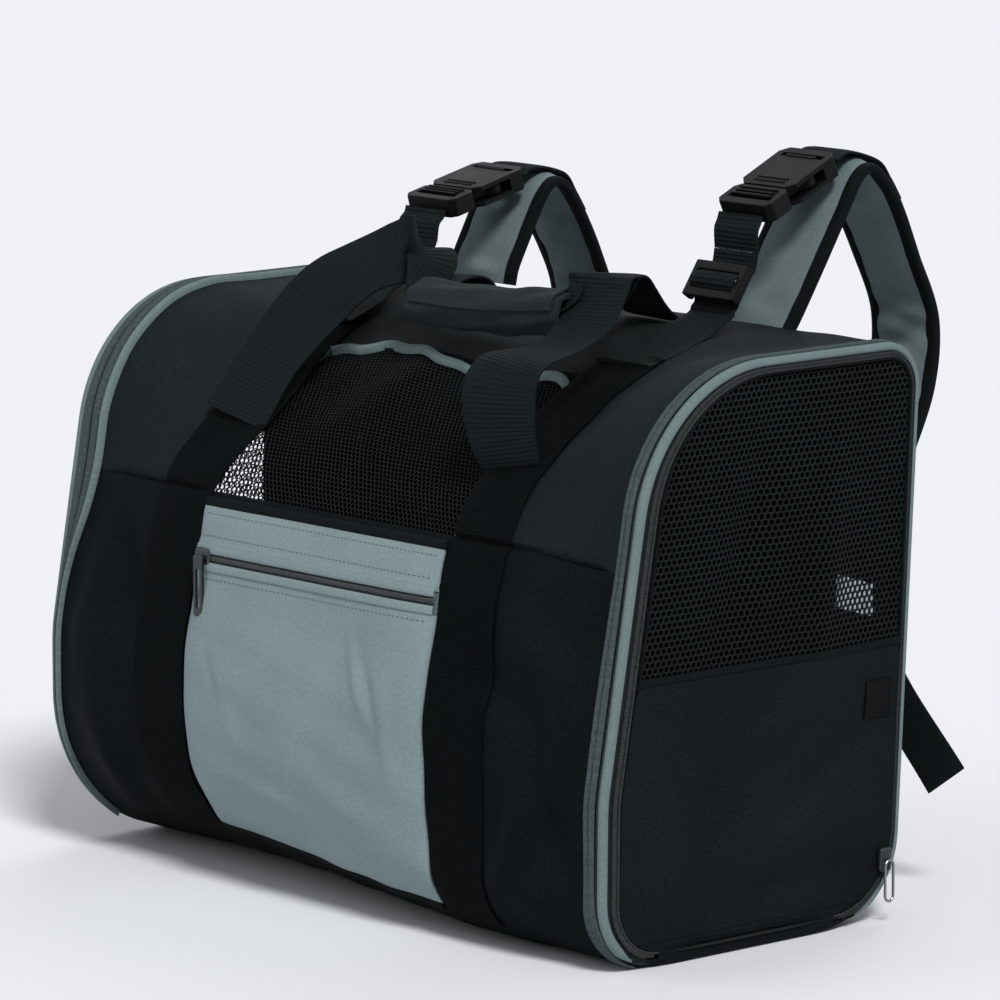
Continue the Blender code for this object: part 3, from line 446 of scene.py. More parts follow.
bag = {"wallX": 0.2055, "wall": 0.0025, "seamZ": 0.200, "archEndY": -0.018, "backSeamZ": 0.262,
       "leastRadius": 0.006, "frontPuff": 0.0055, "sidePuff": 0.0040, "archPuff": 0.0040, "seamDip": 0.0030,
       "puffLowZ": 0.010, "puffHigh": 0.195, "sideFromX": 0.134, "dipFromX": 0.090, "dipRight": 0.197,
       "dipLeft": 0.184, "heart": (0.0, 0.130),
       "corners": ((-0.106, 0.000, 0.040), (-0.106, 0.115, 0.100), (-0.075, 0.290, 0.080),
                   (0.1125, 0.290, 0.022), (0.0970, 0.000, 0.030)),
       "rightEnd": ((-0.103, 0.000, 0.036), (-0.102, 0.085, 0.100), (-0.066, 0.290, 0.085),
                    (0.1125, 0.290, 0.022), (0.0970, 0.000, 0.046)),
       "leftEnd": ((-0.106, 0.000, 0.082), (-0.106, 0.115, 0.100), (-0.075, 0.290, 0.080),
                   (0.1125, 0.290, 0.022), (0.0970, 0.000, 0.030)),
       # depth and height of the roof where it has sunk between the ends, from the seam to the flat top
       "sunkRoof": ((-0.1016, 0.140), (-0.1000, 0.156), (-0.0985, 0.172), (-0.0968, 0.186), (-0.0930, 0.1990),
                    (-0.0815, 0.2185), (-0.0615, 0.2385), (-0.0320, 0.2580), (-0.012, 0.2688), (0.006, 0.277),
                    (0.034, 0.2868), (0.062, 0.290)),
       # how much of that each place along X has sunk
       "sunkShare": ((-0.206, 0.0), (-0.190, 0.06), (-0.165, 0.36), (-0.140, 0.74), (-0.1135, 1.02),
                     (-0.090, 1.17), (-0.060, 1.18), (-0.020, 0.98), (0.020, 1.05), (0.090, 1.0),
                     (0.1135, 1.0), (0.140, 0.86), (0.170, 0.42), (0.192, 0.07), (0.206, 0.0))}
# creases: x, height on the front or arch, angle from X in degrees, length, width, height of the fold
bagCreases = ((0.170, 0.090, 100, 0.034, 0.010, -0.0078), (0.155, 0.060, 62, 0.032, 0.009, 0.0066),
              (0.183, 0.115, 80, 0.038, 0.008, 0.0050), (-0.165, 0.085, 85, 0.055, 0.012, 0.0052),
              (-0.150, 0.150, 110, 0.035, 0.010, -0.0046), (0.160, 0.235, 60, 0.035, 0.012, -0.0046),
              (0.185, 0.225, 75, 0.040, 0.010, 0.0036), (-0.175, 0.240, 100, 0.035, 0.012, -0.0030),
              (0.165, 0.150, 140, 0.032, 0.011, 0.0064), (-0.185, 0.150, 78, 0.045, 0.009, -0.0034),
              (0.150, 0.124, 150, 0.036, 0.011, -0.0066), (0.186, 0.055, 108, 0.038, 0.009, -0.0044),
              (0.142, 0.085, 95, 0.055, 0.008, -0.0030), (-0.148, 0.110, 92, 0.065, 0.010, -0.0050),
              (-0.178, 0.125, 86, 0.055, 0.010, 0.0044), (-0.160, 0.045, 80, 0.032, 0.009, 0.0044),
              (0.168, 0.032, 165, 0.036, 0.010, 0.0044))


def outlineOf(corners, out, sides=(1, 1, 1, 1, 1)):
    # polygon with each side moved out by its share and each corner an arc; points, normals, running length
    corners, sides = np.array(corners), np.array(sides, float) * out
    way = unit(np.roll(corners[:, :2], -1, axis=0) - corners[:, :2])
    after = np.stack((-way[:, 1], way[:, 0]), axis=1)
    before, sideBefore = np.roll(after, 1, axis=0), np.roll(sides, 1)
    lean = (before * after).sum(axis=1)
    shift = (sideBefore - sides * lean)[:, None] * before + (sides - sideBefore * lean)[:, None] * after
    spots = corners[:, :2] + shift / (1 - lean ** 2)[:, None]
    radii = np.maximum(corners[:, 2] + (sides + sideBefore) / 2, bag["leastRadius"])
    back, ahead = unit(np.roll(spots, 1, axis=0) - spots), unit(np.roll(spots, -1, axis=0) - spots)
    half = np.arccos((back * ahead).sum(axis=1)) / 2
    centres = spots + unit(back + ahead) * (radii / np.sin(half))[:, None]
    first = spots + back * (radii / np.tan(half))[:, None] - centres
    start = np.arctan2(first[:, 1], first[:, 0])
    angles = start[:, None] - (np.pi - 2 * half)[:, None] * np.linspace(0, 1, 25)[None]
    normals = np.stack((np.cos(angles), np.sin(angles)), axis=-1)
    points = (centres[:, None] + normals * radii[:, None, None]).reshape(-1, 2)
    normals = normals.reshape(-1, 2)
    run = runOf(points)
    even = np.linspace(0, run[-1], int(run[-1] / 0.001) + 1)
    read = lambda grid: np.stack([np.interp(even, run, column) for column in grid.T], axis=1)
    return read(points), unit(read(normals)), even


linePoints, lineNormals, lineRun = outlineOf(bag["corners"], 0.0)
lineTop = int(np.argmax(linePoints[:, 1] - 0.01 * linePoints[:, 0]))


def frontRun(z):
    # running length at a height on the front of the plain outline
    return np.interp(z, linePoints[:lineTop + 1, 1], lineRun[:lineTop + 1])


def topRun(y):
    # running length at a depth on its top
    low, high = int(np.argmin(linePoints[:, 0])) + 3, int(np.argmax(linePoints[:, 0])) + 1
    return np.interp(y, linePoints[low:high, 0], lineRun[low:high])


def backRun(z):
    # running length at a height on its back
    low = int(np.argmax(linePoints[:, 0]))
    return np.interp(z, linePoints[low:, 1][::-1], lineRun[low:][::-1])


def onLine(run):
    # point and normal of the plain outline at a running length
    point = np.stack([np.interp(run, lineRun, linePoints[:, k]) for k in (0, 1)], axis=-1)
    normal = np.stack([np.interp(run, lineRun, lineNormals[:, k]) for k in (0, 1)], axis=-1)
    return point, unit(normal)


def moveTo(corners):
    # from each point of the plain outline to another outline, along the ray from the middle of the end
    turn = lambda spots: -np.unwrap(np.arctan2(spots[:, 1] - bag["heart"][1], spots[:, 0] - bag["heart"][0]))
    other, _, _ = outlineOf(corners, 0.0)
    otherTurn, lineTurn = turn(other), turn(linePoints)
    found = np.stack([np.interp(lineTurn, otherTurn, other[:, k]) for k in (0, 1)], axis=1)
    return found - linePoints


def sinkTo(points):
    # below the seam a point keeps its height; above it, it takes the same share of the sunken roof's length
    curve = smoothRoute(np.concatenate((np.array(points), np.zeros((len(points), 1))), axis=1), 0.001)[:, :2]
    length, seam = runOf(curve), int(np.argmin(np.abs(curve[:, 1] - bag["seamZ"] + 0.001)))
    share = np.clip((length - length[seam]) / (length[-1] - length[seam]), 0, 1)
    seamRun = float(frontRun(curve[seam, 1]))
    low, high = float(frontRun(points[0][1])), float(topRun(points[-1][0]))
    key = np.where(length < length[seam], frontRun(curve[:, 1]), seamRun + (high - seamRun) * share)
    found = np.stack([np.interp(lineRun, key, curve[:, k]) for k in (0, 1)], axis=1)
    inside = ((lineRun > low) & (lineRun < high))[:, None]
    return np.where(inside, found - linePoints, 0.0)


moveRight, moveLeft, moveSunk = moveTo(bag["rightEnd"]), moveTo(bag["leftEnd"]), sinkTo(bag["sunkRoof"])


def bump(distance, width):
    # bell curve: e to the minus square of distance over width
    return np.exp(-(distance / width) ** 2)


def ease(value):
    # smooth step between 0 and 1: three times the square minus twice the cube
    value = np.clip(value, 0, 1)
    return value * value * (3 - 2 * value)


sunkTable = smoothRoute(np.concatenate((np.array(bag["sunkShare"]), np.zeros((len(bag["sunkShare"]), 1))),
                                       axis=1), 0.002)


def sunkShare(x):
    # share of the sag at x, from its smoothed table
    return np.interp(x, sunkTable[:, 0], sunkTable[:, 1])


def softShare(x):
    # share of the left end's outline: 0 from the right band outwards, 1 from the left band outwards
    return ease((0.13 - x) / 0.26)


def foldSum(folds, a, b, place=float):
    # sum of soft ridges: each is its height times a bump along it times a bump across it, turned by its angle
    total = 0.0
    for midA, midB, angle, length, width, height in folds:
        turn = math.radians(angle)
        da, db = a - midA, b - place(midB)
        alongFold = da * math.cos(turn) + db * math.sin(turn)
        acrossFold = db * math.cos(turn) - da * math.sin(turn)
        total = total + height * bump(alongFold, length) * bump(acrossFold, width)
    return total


def puff(x, run):
    # how far the cloth stands out from the plain outline: front bulge, dips at seams, creases
    x, run = np.broadcast_arrays(np.asarray(x, float), np.asarray(run, float))
    spot, _ = onLine(run)
    z = spot[..., 1]
    middleShare = np.clip(1 - np.abs(x / bag["wallX"]) ** 6, 0, 1)
    onFront = (run < lineRun[lineTop])
    front = np.sin(np.pi * np.clip((z - bag["puffLowZ"]) / bag["puffHigh"], 0, 1)) ** 1.3 * onFront
    out = bag["frontPuff"] * front * middleShare
    side = np.clip((np.abs(x) - bag["sideFromX"]) / (bag["wallX"] - bag["sideFromX"]), 0, 1)
    out = out + bag["sidePuff"] * front * np.sin(np.pi * side)
    low, high = frontRun(0.205), topRun(0.03)
    arch = np.sin(np.pi * np.clip((run - low) / (high - low), 0, 1)) ** 1.5
    out = out + bag["archPuff"] * arch * np.sin(np.pi * side)
    beside = np.clip((np.abs(x) - bag["dipFromX"]) / 0.01, 0, 1)
    nearEnd = np.clip((np.where(x > 0, bag["dipRight"], bag["dipLeft"]) - np.abs(x)) / 0.008, 0, 1)
    out = out - bag["seamDip"] * bump(run - frontRun(bag["seamZ"]), 0.0018) * beside * nearEnd
    out = out + foldSum(bagCreases, x, run, frontRun) * middleShare
    ripple = np.sin(x * 97 + run * 61 + 0.8) * np.sin(run * 113 - x * 41) * 0.00055
    return out + ripple * middleShare


def onShell(x, run, out):
    # shell at x and running length: plain outline + shares of roof and end moves + normal * (puff + out)
    x, run = np.broadcast_arrays(np.asarray(x, float), np.asarray(run, float))
    spot, normal = onLine(run)
    read = lambda table: np.stack([np.interp(run, lineRun, table[:, k]) for k in (0, 1)], axis=-1)
    sunk = sunkShare(x)
    right = ease((x - 0.05) / (bag["wallX"] - 0.05)) * np.clip(1 - sunk, 0, 1)
    place = spot + read(moveSunk) * sunk[..., None] + read(moveRight) * right[..., None]
    place = place + read(moveLeft) * softShare(x)[..., None]
    place = place + normal * (puff(x, run) + out)[..., None]
    place[..., 1] = np.maximum(place[..., 1], 0.0)
    return np.concatenate((x[..., None], place), axis=-1)


def shellSheet(name, lowX, highX, lowRun, highRun, look, slot, out=0.0, thick=0.0025, step=0.003, **rest):
    # panel: a grid of x and running length on the shell, and again one thickness further in
    cols, rows = int((highX - lowX) / step) + 2, int((highRun - lowRun) / step) + 2
    x, run = np.meshgrid(np.linspace(lowX, highX, cols), np.linspace(lowRun, highRun, rows))
    return sheetPiece(name, onShell(x, run, out), onShell(x, run, out - thick), x, run, look, slot, **rest)


def shellBand(name, route, width, lift, thick, look, slot, ribs=None, cols=9, edge=0.45, **rest):
    # band laid on the shell: the route is drawn in x and running length, and u goes across it
    along = alongOf(route)
    side = np.stack((along[:, 1], -along[:, 0]), axis=1)
    run = runOf(route)
    u = np.sin(np.linspace(-1, 1, cols) * math.pi / 2)
    width = np.broadcast_to(np.asarray(width, float), run.shape)
    spots = route[:, None] + side[:, None] * (u[None] * width[:, None] / 2)[..., None]
    high = lift + thick * (1 - edge * np.abs(u) ** 6)[None] * np.ones((len(run), 1))
    if ribs:
        high = high + ribHeight(ribs, run, u)
    x, length = spots[..., 0], spots[..., 1]
    across = u[None] * width[:, None] / 2
    return sheetPiece(name, onShell(x, length, high), onShell(x, length, lift), across, run[:, None], look,
                      slot, **rest)


def makeShell():
    # front, arches, top and back are sheets between the seams
    wallX, seam = bag["wallX"], float(frontRun(bag["seamZ"]))
    archEnd, backSeam = float(topRun(bag["archEndY"])), float(backRun(bag["backSeamZ"]))
    shellSheet("frontPanel", -wallX, wallX, 0.0, seam, "blackCloth", "black_fabric", body="carrier",
               stands=("front_panel",))
    inner = window["halfX"] + window["binding"]
    # the arches and the top take the roof cloth, painted lighter as light from above
    shellSheet("archPanelRight", inner, wallX, seam, archEnd, "roofClothPaintedLight", "black_fabric", body="carrier",
               stands=("arch_panel_right",))
    shellSheet("archPanelLeft", -wallX, -inner, seam, archEnd, "roofClothPaintedLight", "black_fabric", body="carrier",
               stands=("arch_panel_left",))
    shellSheet("topPanel", -wallX, wallX, archEnd, backSeam, "roofClothPaintedLight", "black_fabric", step=0.004,
               body="carrier", stands=("top_panel",))
    shellSheet("backPanel", -wallX, wallX, backSeam, float(lineRun[-1]), "blackCloth", "black_fabric",
               step=0.005, body="carrier", stands=("back_panel",))
    # the bottom is flat where it rests, and curves up to the rounder front edge towards the left
    low, high = linePoints[0][0], linePoints[-1][0]
    x, y = np.meshgrid(np.linspace(-wallX, wallX, 90), np.linspace(low, high, 50))
    radius = bag["leftEnd"][0][2]
    reach = np.clip(bag["leftEnd"][0][0] + radius - y, 0, radius)
    rise = radius - np.sqrt(radius ** 2 - reach ** 2)
    front = onShell(x[0], np.zeros(x.shape[1]), 0.0)
    slide = (front[:, 1] - low)[None] * np.clip(1 - (y - low) / 0.05, 0, 1)
    z = rise * (front[:, 2] / max(rise[0].max(), 1e-6))[None]
    rear = onShell(x[0], np.full(x.shape[1], lineRun[-1]), 0.0)
    slide = slide + (rear[:, 1] - high)[None] * np.clip(1 - (high - y) / 0.05, 0, 1)
    z = z + rear[:, 2][None] * ease((y - high + 0.040) / 0.040)
    under, over = (np.stack((x, y + slide, z + up), axis=-1) for up in (0.0, bag["wall"]))
    sheetPiece("bottomPanel", under, over, x, y, "blackCloth", "black_fabric", body="carrier",
               stands=("bottom_panel",))


# mesh window and its grey binding

window = {"halfX": 0.0925, "topY": -0.0265, "binding": 0.006, "pitch": 0.0030, "strand": 0.00042,
          "thick": 0.0006, "bindingWidth": 0.0050, "bindingThick": 0.0020}


def hexNet(name, centres, pitch, strand, thick, place, look, slot, **rest):
    # six-sided cells, each a ring between its border and a smaller hole, set on two faces by place(a, b, out)
    turn = np.radians(np.arange(30, 390, 60))
    ring = np.stack((np.cos(turn), np.sin(turn)), axis=1)
    outer = centres[:, None] + ring[None] * pitch / math.sqrt(3)
    hole = centres[:, None] + ring[None] * (pitch / math.sqrt(3) - strand / math.sqrt(3))
    keys = np.round(outer.reshape(-1, 2) / (pitch * 0.01)).astype(np.int64)
    _, first, index = np.unique(keys, axis=0, return_index=True, return_inverse=True)
    shared = outer.reshape(-1, 2)[first]
    index = index.reshape(-1, 6)
    flat = np.concatenate((shared, hole.reshape(-1, 2)))
    inner = len(shared) + np.arange(hole.shape[0] * 6).reshape(-1, 6)
    count = len(flat)
    nextOuter, nextInner = np.roll(index, -1, axis=1), np.roll(inner, -1, axis=1)
    top = np.stack((index, nextOuter, nextInner, inner), axis=-1).reshape(-1, 4)
    wall = np.stack((inner, nextInner, nextInner + count, inner + count), axis=-1).reshape(-1, 4)
    edges = np.stack((index, nextOuter), axis=-1).reshape(-1, 2)
    _, where, uses = np.unique(np.sort(edges, axis=1), axis=0, return_index=True, return_counts=True)
    rimEdges = edges[where[uses == 1]]
    rim = np.stack((rimEdges[:, 1], rimEdges[:, 0], rimEdges[:, 0] + count, rimEdges[:, 1] + count), axis=1)
    faces = np.concatenate((top, top[:, ::-1] + count, wall, rim))
    points = np.concatenate([place(flat[:, 0], flat[:, 1], way * thick / 2) for way in (1, -1)])
    return makePiece(name, points, faces, np.concatenate((flat, flat)), look, slot, sharp=35, **rest)


def cellCentres(lowA, highA, lowB, highB, pitch):
    # rows of centres one pitch apart, every other row moved by half a pitch
    rows, cols = int((highB - lowB) / (pitch * math.sqrt(0.75))) + 1, int((highA - lowA) / pitch) + 1
    col, row = np.meshgrid(np.arange(cols), np.arange(rows))
    return np.stack((lowA + (col + row % 2 / 2) * pitch, lowB + row * pitch * math.sqrt(0.75)),
                    axis=-1).reshape(-1, 2)


def windowWave(x):
    # the slack top edge: high on the left, drooping right of the middle
    return 0.0085 * bump(x + 0.050, 0.034) - 0.0045 * bump(x - 0.026, 0.026) + 0.0012 * np.sin(x * 190)


def makeWindow():
    # net from the seam to the wavy top edge
    seam, top = float(frontRun(bag["seamZ"])), float(topRun(window["topY"]))
    half, pitch = window["halfX"], window["pitch"]
    centres = cellCentres(-half - 0.001, half + 0.001, seam - 0.002, top + 0.011, pitch)
    centres = centres[centres[:, 1] < top - 0.0010 + windowWave(centres[:, 0])]
    hexNet("windowNet", centres, pitch, window["strand"], window["thick"],
           lambda x, run, out: onShell(x, run, out - 0.0014), "netThread", "net", body="carrier",
           stands=("window_mesh",))
    # the binding runs up the left side, along the wavy top and down the right side
    turn = 0.014
    corner = np.radians(np.linspace(0, 90, 8))
    edge = half + 0.0026
    high = top + 0.0022
    left = np.stack((-edge + turn - turn * np.cos(corner), high - turn + turn * np.sin(corner)), axis=1)
    right = np.stack((edge - turn + turn * np.sin(corner), high - turn + turn * np.cos(corner)), axis=1)
    # both sides take the darker dull grey and the top the piping grey: painted shade on the sides of one
    # binding
    for name, line, width, thick, look, stands in (
            ("windowBinding", np.concatenate((left[3:], right[:-2])), window["bindingWidth"],
             window["bindingThick"], "pipingGrey", ("window_binding",)),
            ("windowEdgeLeft", np.concatenate(([(-edge, seam)], left[:4])), 0.0030, 0.0012, "dullGrey", ()),
            ("windowEdgeRight", np.concatenate((right[-3:], [(edge, seam)])), 0.0046, 0.0016, "dullGrey",
             ())):
        route = evenRoute(np.concatenate((line, np.zeros((len(line), 1))), axis=1), 0.0015)[:, :2]
        onTop = np.clip((route[:, 1] - (high - turn)) / turn, 0, 1)
        route[:, 1] += onTop * windowWave(route[:, 0])
        shellBand(name, route, width, -0.0012, thick + 0.0012, look, "grey_fabric", cols=11, edge=0.75,
                  body="carrier", stands=stands)


# ribbed webbing bands sewn up the front and over the arch

webbing = {"x": 0.1135, "width": 0.040, "thick": 0.0018, "lowZ": 0.012, "endY": 0.004, "lift": 0.0005,
           "ribs": {"pitch": 0.0023, "height": 0.00042}}


def makeBodyWebbing():
    # each band goes up the front and over the arch, with a narrow waist low down; the left one leans
    for side, sign in (("right", 1), ("left", -1)):
        run = np.linspace(float(frontRun(webbing["lowZ"])), float(topRun(webbing["endY"])), 640)
        waist = bump(run - frontRun(0.045), 0.012)
        lean = 0.012 * bump(run - 0.272, 0.042) if side == "left" else 0.0
        route = np.stack((sign * webbing["x"] + sign * 0.0015 * waist + 0.0006 * np.sin(run * 70) + lean,
                          run), axis=1)
        width = webbing["width"] * (1 - 0.06 * waist)
        shellBand(f"bodyWebbing{side.title()}", route, width, webbing["lift"], webbing["thick"], "bandBlack",
                  "webbing", ribs=webbing["ribs"], body="carrier", stands=(f"body_webbing_{side}",))


# grey pocket with a flat strip and a zip along its top

pocket = {"halfX": 0.0915, "lowZ": 0.016, "highZ": 0.1605, "zipLowZ": 0.1625, "zipHighZ": 0.1725,
          "stripHighZ": 0.193, "out": 0.0086, "thick": 0.0012, "hemZ": 0.1950, "footZ": 0.0150}
# folds in the pocket's front: x, height, angle from X, length, width, height of the fold
pocketFolds = ((-0.062, 0.108, 122, 0.016, 0.0045, -0.0018), (-0.056, 0.100, 122, 0.020, 0.0060, 0.0017),
               (0.050, 0.122, 118, 0.018, 0.0040, 0.0022), (0.057, 0.118, 118, 0.016, 0.0040, -0.0018),
               (0.070, 0.098, 105, 0.022, 0.0060, 0.0017), (-0.020, 0.052, 170, 0.050, 0.0080, 0.0018),
               (0.030, 0.042, 160, 0.040, 0.0070, -0.0017), (-0.060, 0.045, 30, 0.030, 0.0070, -0.0018),
               (0.010, 0.075, 150, 0.045, 0.0090, 0.0012), (-0.030, 0.128, 165, 0.050, 0.0100, 0.0012))


def pocketOut(x, run):
    # distance of the pocket's cloth from the shell: sewn down at its sides and foot, full in the middle
    side = 1 - np.abs(x / pocket["halfX"]) ** 5
    rise = np.clip((run - frontRun(pocket["lowZ"])) / 0.045, 0, 1)
    out = 0.0012 + (pocket["out"] - 0.0012) * np.clip(side, 0, 1) ** 0.6 * np.sin(rise * np.pi / 2) ** 0.8
    out = out + foldSum(pocketFolds, x, run, frontRun)
    return out + 0.0003 * np.sin(x * 120 + run * 85) * np.sin(run * 150 - x * 60) * np.clip(side, 0, 1)


def pocketSheet(name, lowZ, highZ, rows, outOf, thick, look, slot, **rest):
    # sheet between two heights of the pocket, lifted off the shell by outOf
    cols = 124
    x, run = np.meshgrid(np.linspace(-pocket["halfX"], pocket["halfX"], cols),
                         np.linspace(float(frontRun(lowZ)), float(frontRun(highZ)), rows))
    out = outOf(x, run)
    return sheetPiece(name, onShell(x, run, out), onShell(x, run, out - thick), x, run, look, slot,
                      body="carrier", **rest)


def stitchRow(name, points, normals, look, slot, pitch=0.0030, length=0.0021, wide=0.00042, **rest):
    # thread: one flat eight-sided bead for each stitch, set along the seam
    run = runOf(points)
    spots = np.arange(pitch, run[-1] - pitch / 2, pitch)
    read = lambda grid: np.stack([np.interp(spots, run, column) for column in grid.T], axis=1)
    places, out = read(points), unit(read(normals))
    along = unit(read(alongOf(points)))
    side = np.cross(along, out)
    bead = np.array(((-1, 0, 0), (0, 1, 0), (1, 0, 0), (0, -1, 0), (0, 0, 1), (0, 0, -1)), float)
    bead = bead * (length / 2, wide, wide)
    mesh = places[:, None] + along[:, None] * bead[None, :, :1] + side[:, None] * bead[None, :, 1:2]
    mesh = mesh + out[:, None] * bead[None, :, 2:]
    tris = np.array(((0, 1, 4), (1, 2, 4), (2, 3, 4), (3, 0, 4), (1, 0, 5), (2, 1, 5), (3, 2, 5), (0, 3, 5)))
    faces = (tris[None] + np.arange(len(spots))[:, None, None] * 6).reshape(-1, 3)
    return makePiece(name, mesh, faces, np.zeros((len(spots) * 6, 2)), look, slot, sharp=180, **rest)


def shellStitches(name, route, outOf, look, slot, **rest):
    # stitches along a route on the shell, lifted by outOf
    x, run = route[:, 0], route[:, 1]
    out = outOf(x, run)
    low, high = onShell(x, run, out), onShell(x, run, out + 0.01)
    return stitchRow(name, low, high - low, look, slot, **rest)


def makePocket():
    # cloth of the front, strip and zip tape as sheets, then the lines that run along them
    zipOut = lambda x, run: pocketOut(x, np.minimum(run, frontRun(pocket["highZ"])))
    pocketSheet("pocketFront", pocket["lowZ"], pocket["highZ"], 104, pocketOut, pocket["thick"], "greyCloth",
                "grey_fabric", stands=("pocket_front",))

    def stripOut(x, run):
        # from the zip's height down to the hem at the window, with a rolled lower edge
        low, high = frontRun(pocket["zipHighZ"]), frontRun(pocket["stripHighZ"])
        t = np.clip((run - low) / (high - low), 0, 1)
        return zipOut(x, run) * (1 - t) ** 0.7 + 0.0016 * t + 0.0006 * bump(run - frontRun(0.1745), 0.0016)

    pocketSheet("pocketStrip", pocket["zipHighZ"], pocket["stripHighZ"], 26, stripOut, 0.0012, "greyCloth",
                "grey_fabric", stands=("pocket_strip",))
    pocketSheet("pocketZipTape", pocket["highZ"] - 0.001, pocket["zipHighZ"] + 0.001, 12,
                lambda x, run: zipOut(x, run) - 0.0014, 0.0008, "pocketTape", "zip_tape",
                stands=("pocket_zip",))
    # coil of the zip, and a rolled grey edge above and below it
    x = np.linspace(-pocket["halfX"] + 0.001, pocket["halfX"] - 0.001, 420)
    middle = (pocket["zipLowZ"] + pocket["zipHighZ"]) / 2
    for name, z, width, thick, lift, look, slot, ribs in (
            ("pocketZipCoil", middle, 0.0030, 0.0012, -0.0012, "pocketCoil", "zip_tape",
             {"pitch": 0.0014, "height": 0.0006}),
            ("pocketZipEdgeLow", pocket["zipLowZ"] + 0.0004, 0.0046, 0.0016, -0.0006, "greyCloth",
             "grey_fabric", None),
            ("pocketZipEdgeHigh", pocket["zipHighZ"] - 0.0006, 0.0046, 0.0016, -0.0006, "greyCloth",
             "grey_fabric", None)):
        run = np.full_like(x, float(frontRun(z)))
        path = onShell(x, run, zipOut(x, run) + lift + thick / 2)
        facing = onShell(x, run + 0.001, zipOut(x, run)) - onShell(x, run - 0.001, zipOut(x, run))
        bandPiece(name, path, facing, width, thick, look, slot, ribs=ribs, cols=7, edge=0.8, body="carrier")
    x = np.linspace(-pocket["halfX"], pocket["halfX"], 160)
    hem, foot = (np.stack((x, np.full_like(x, float(frontRun(pocket[key])))), axis=1)
                 for key in ("hemZ", "footZ"))
    shellBand("windowHem", hem, 0.0052, 0.0004, 0.0016, "blackBinding", "black_fabric", cols=9, edge=0.6,
              body="carrier")
    shellBand("pocketFootBinding", foot, 0.0045, 0.0004, 0.0020, "blackBinding", "black_fabric", cols=7,
              edge=0.6, body="carrier")
    for name, z, outOf in (("pocketStitchLow", 0.1570, pocketOut), ("pocketStitchStrip", 0.1785, stripOut),
                           ("pocketStitchTop", 0.1895, stripOut)):
        x = np.linspace(-pocket["halfX"] + 0.002, pocket["halfX"] - 0.002, 200)
        route = np.stack((x, np.full_like(x, float(frontRun(z)))), axis=1)
        shellStitches(name, route, outOf, "thread", "grey_fabric", body="carrier")


makeShell()
makeWindow()
makeBodyWebbing()
makePocket()
print("shell, window, webbing and pocket made")


# piped ends, door zips and doors

ends = {"x": 0.210, "pipingR": 0.0026, "pipingOut": -0.0028, "tapeOut": -0.0048, "tapeIn": -0.0126,
        "tapeLowZ": 0.0060, "zipLines": (-0.0078, -0.0112), "coil": -0.0095,
        "shares": (1.0, 1.0, 0.55, 0.45, 0.62),
        "doorEdge": -0.0126, "border": 0.0014, "doorLowZ": 0.0125, "netLowZ": 0.138, "netPitch": 0.0035,
        "netStrand": {"right": 0.00082, "left": 0.00050}, "netThick": 0.0010, "doorFace": 0.2104,
        "pipingLowZ": {"right": 0.0048, "left": 0.0130}, "floorBindR": 0.0025, "floorBindZ": 0.0027,
        "sillLines": ((0.0062, 0.0008, "zipTape"), (0.0088, 0.0007, "blackBinding")),
        "pullerRoom": {"y": 0.0812, "z": 0.0240, "slope": 1.6}, "shadeSheetFrontY": 0.0425, "shadeSheetHighZ": 0.281}
# stripes of the piped edge as it wraps on to the shell: distance from the end's rim, width, height, finish
edgeStripes = {"right": ((0.0058, 0.0024, 0.0012, "dullGrey"), (0.0028, 0.0030, 0.0013, "dullGrey")),
               "left": ((0.0052, 0.0058, 0.0016, "dullGrey"), (0.0128, 0.0056, 0.0018, "dullGrey"),
                        (0.0195, 0.0036, 0.0032, "pipingGrey"))}


def endLine(side, out):
    # outline of an end with each side moved out by its share
    return outlineOf(bag[f"{side}End"], out, ends["shares"])


def frontShare(normals):
    # 1 along the front of an end, 0.5 along its top and back, where the trim is narrower
    return 0.5 + 0.5 * ease((0.35 - normals[:, -2]) / 0.9)


def endPath(side, sign, out, x, step, lowZ=None):
    # line round an end at a distance from its outline: open above lowZ, or all round
    points, normals, _ = endLine(side, out)
    if lowZ is not None:
        keep = points[:, 1] > lowZ
        points, normals = points[keep], normals[keep]
    joined = np.concatenate((np.full((len(points), 1), sign * x), points, np.zeros((len(points), 1)),
                             normals), axis=1)
    joined = evenRoute(joined, step)
    return joined[:, :3], unit(joined[:, 3:])


def doorSpan(side, out, z):
    # front and back depth of the door's outline at each height
    points, _, _ = endLine(side, out)
    top = int(np.argmax(points[:, 1] - 0.01 * points[:, 0]))
    low = int(np.argmax(points[top:, 0])) + top
    front = np.interp(z, points[:top + 1, 1], points[:top + 1, 0])
    back = np.interp(z, points[low:, 1][::-1], points[low:, 0][::-1])
    over = np.interp(z, points[top:low + 1, 1][::-1], points[top:low + 1, 0][::-1])
    return front, np.where(z > points[low, 1], over, back)


# folds of the door: depth, height, angle from Y, length, width, height of the fold
doorFolds = ((0.010, 0.110, 26, 0.048, 0.013, 0.0058), (-0.030, 0.085, 52, 0.042, 0.012, -0.0064),
             (0.045, 0.078, 32, 0.038, 0.013, -0.0056), (-0.052, 0.060, 64, 0.036, 0.011, 0.0058),
             (0.012, 0.052, 14, 0.045, 0.013, 0.0044), (0.030, 0.028, 8, 0.040, 0.009, -0.0026),
             (-0.005, 0.205, 70, 0.055, 0.014, -0.0050), (0.045, 0.185, 80, 0.050, 0.012, 0.0040))


def doorBulge(y, z):
    # soft outward swell of the door, with shallow folds low down
    swell = np.cos(np.clip(y / 0.105, -1, 1) * np.pi / 2) * np.sin(np.pi * np.clip((z - 0.012) / 0.262, 0, 1))
    return 0.0034 * swell + foldSum(doorFolds, y, z)


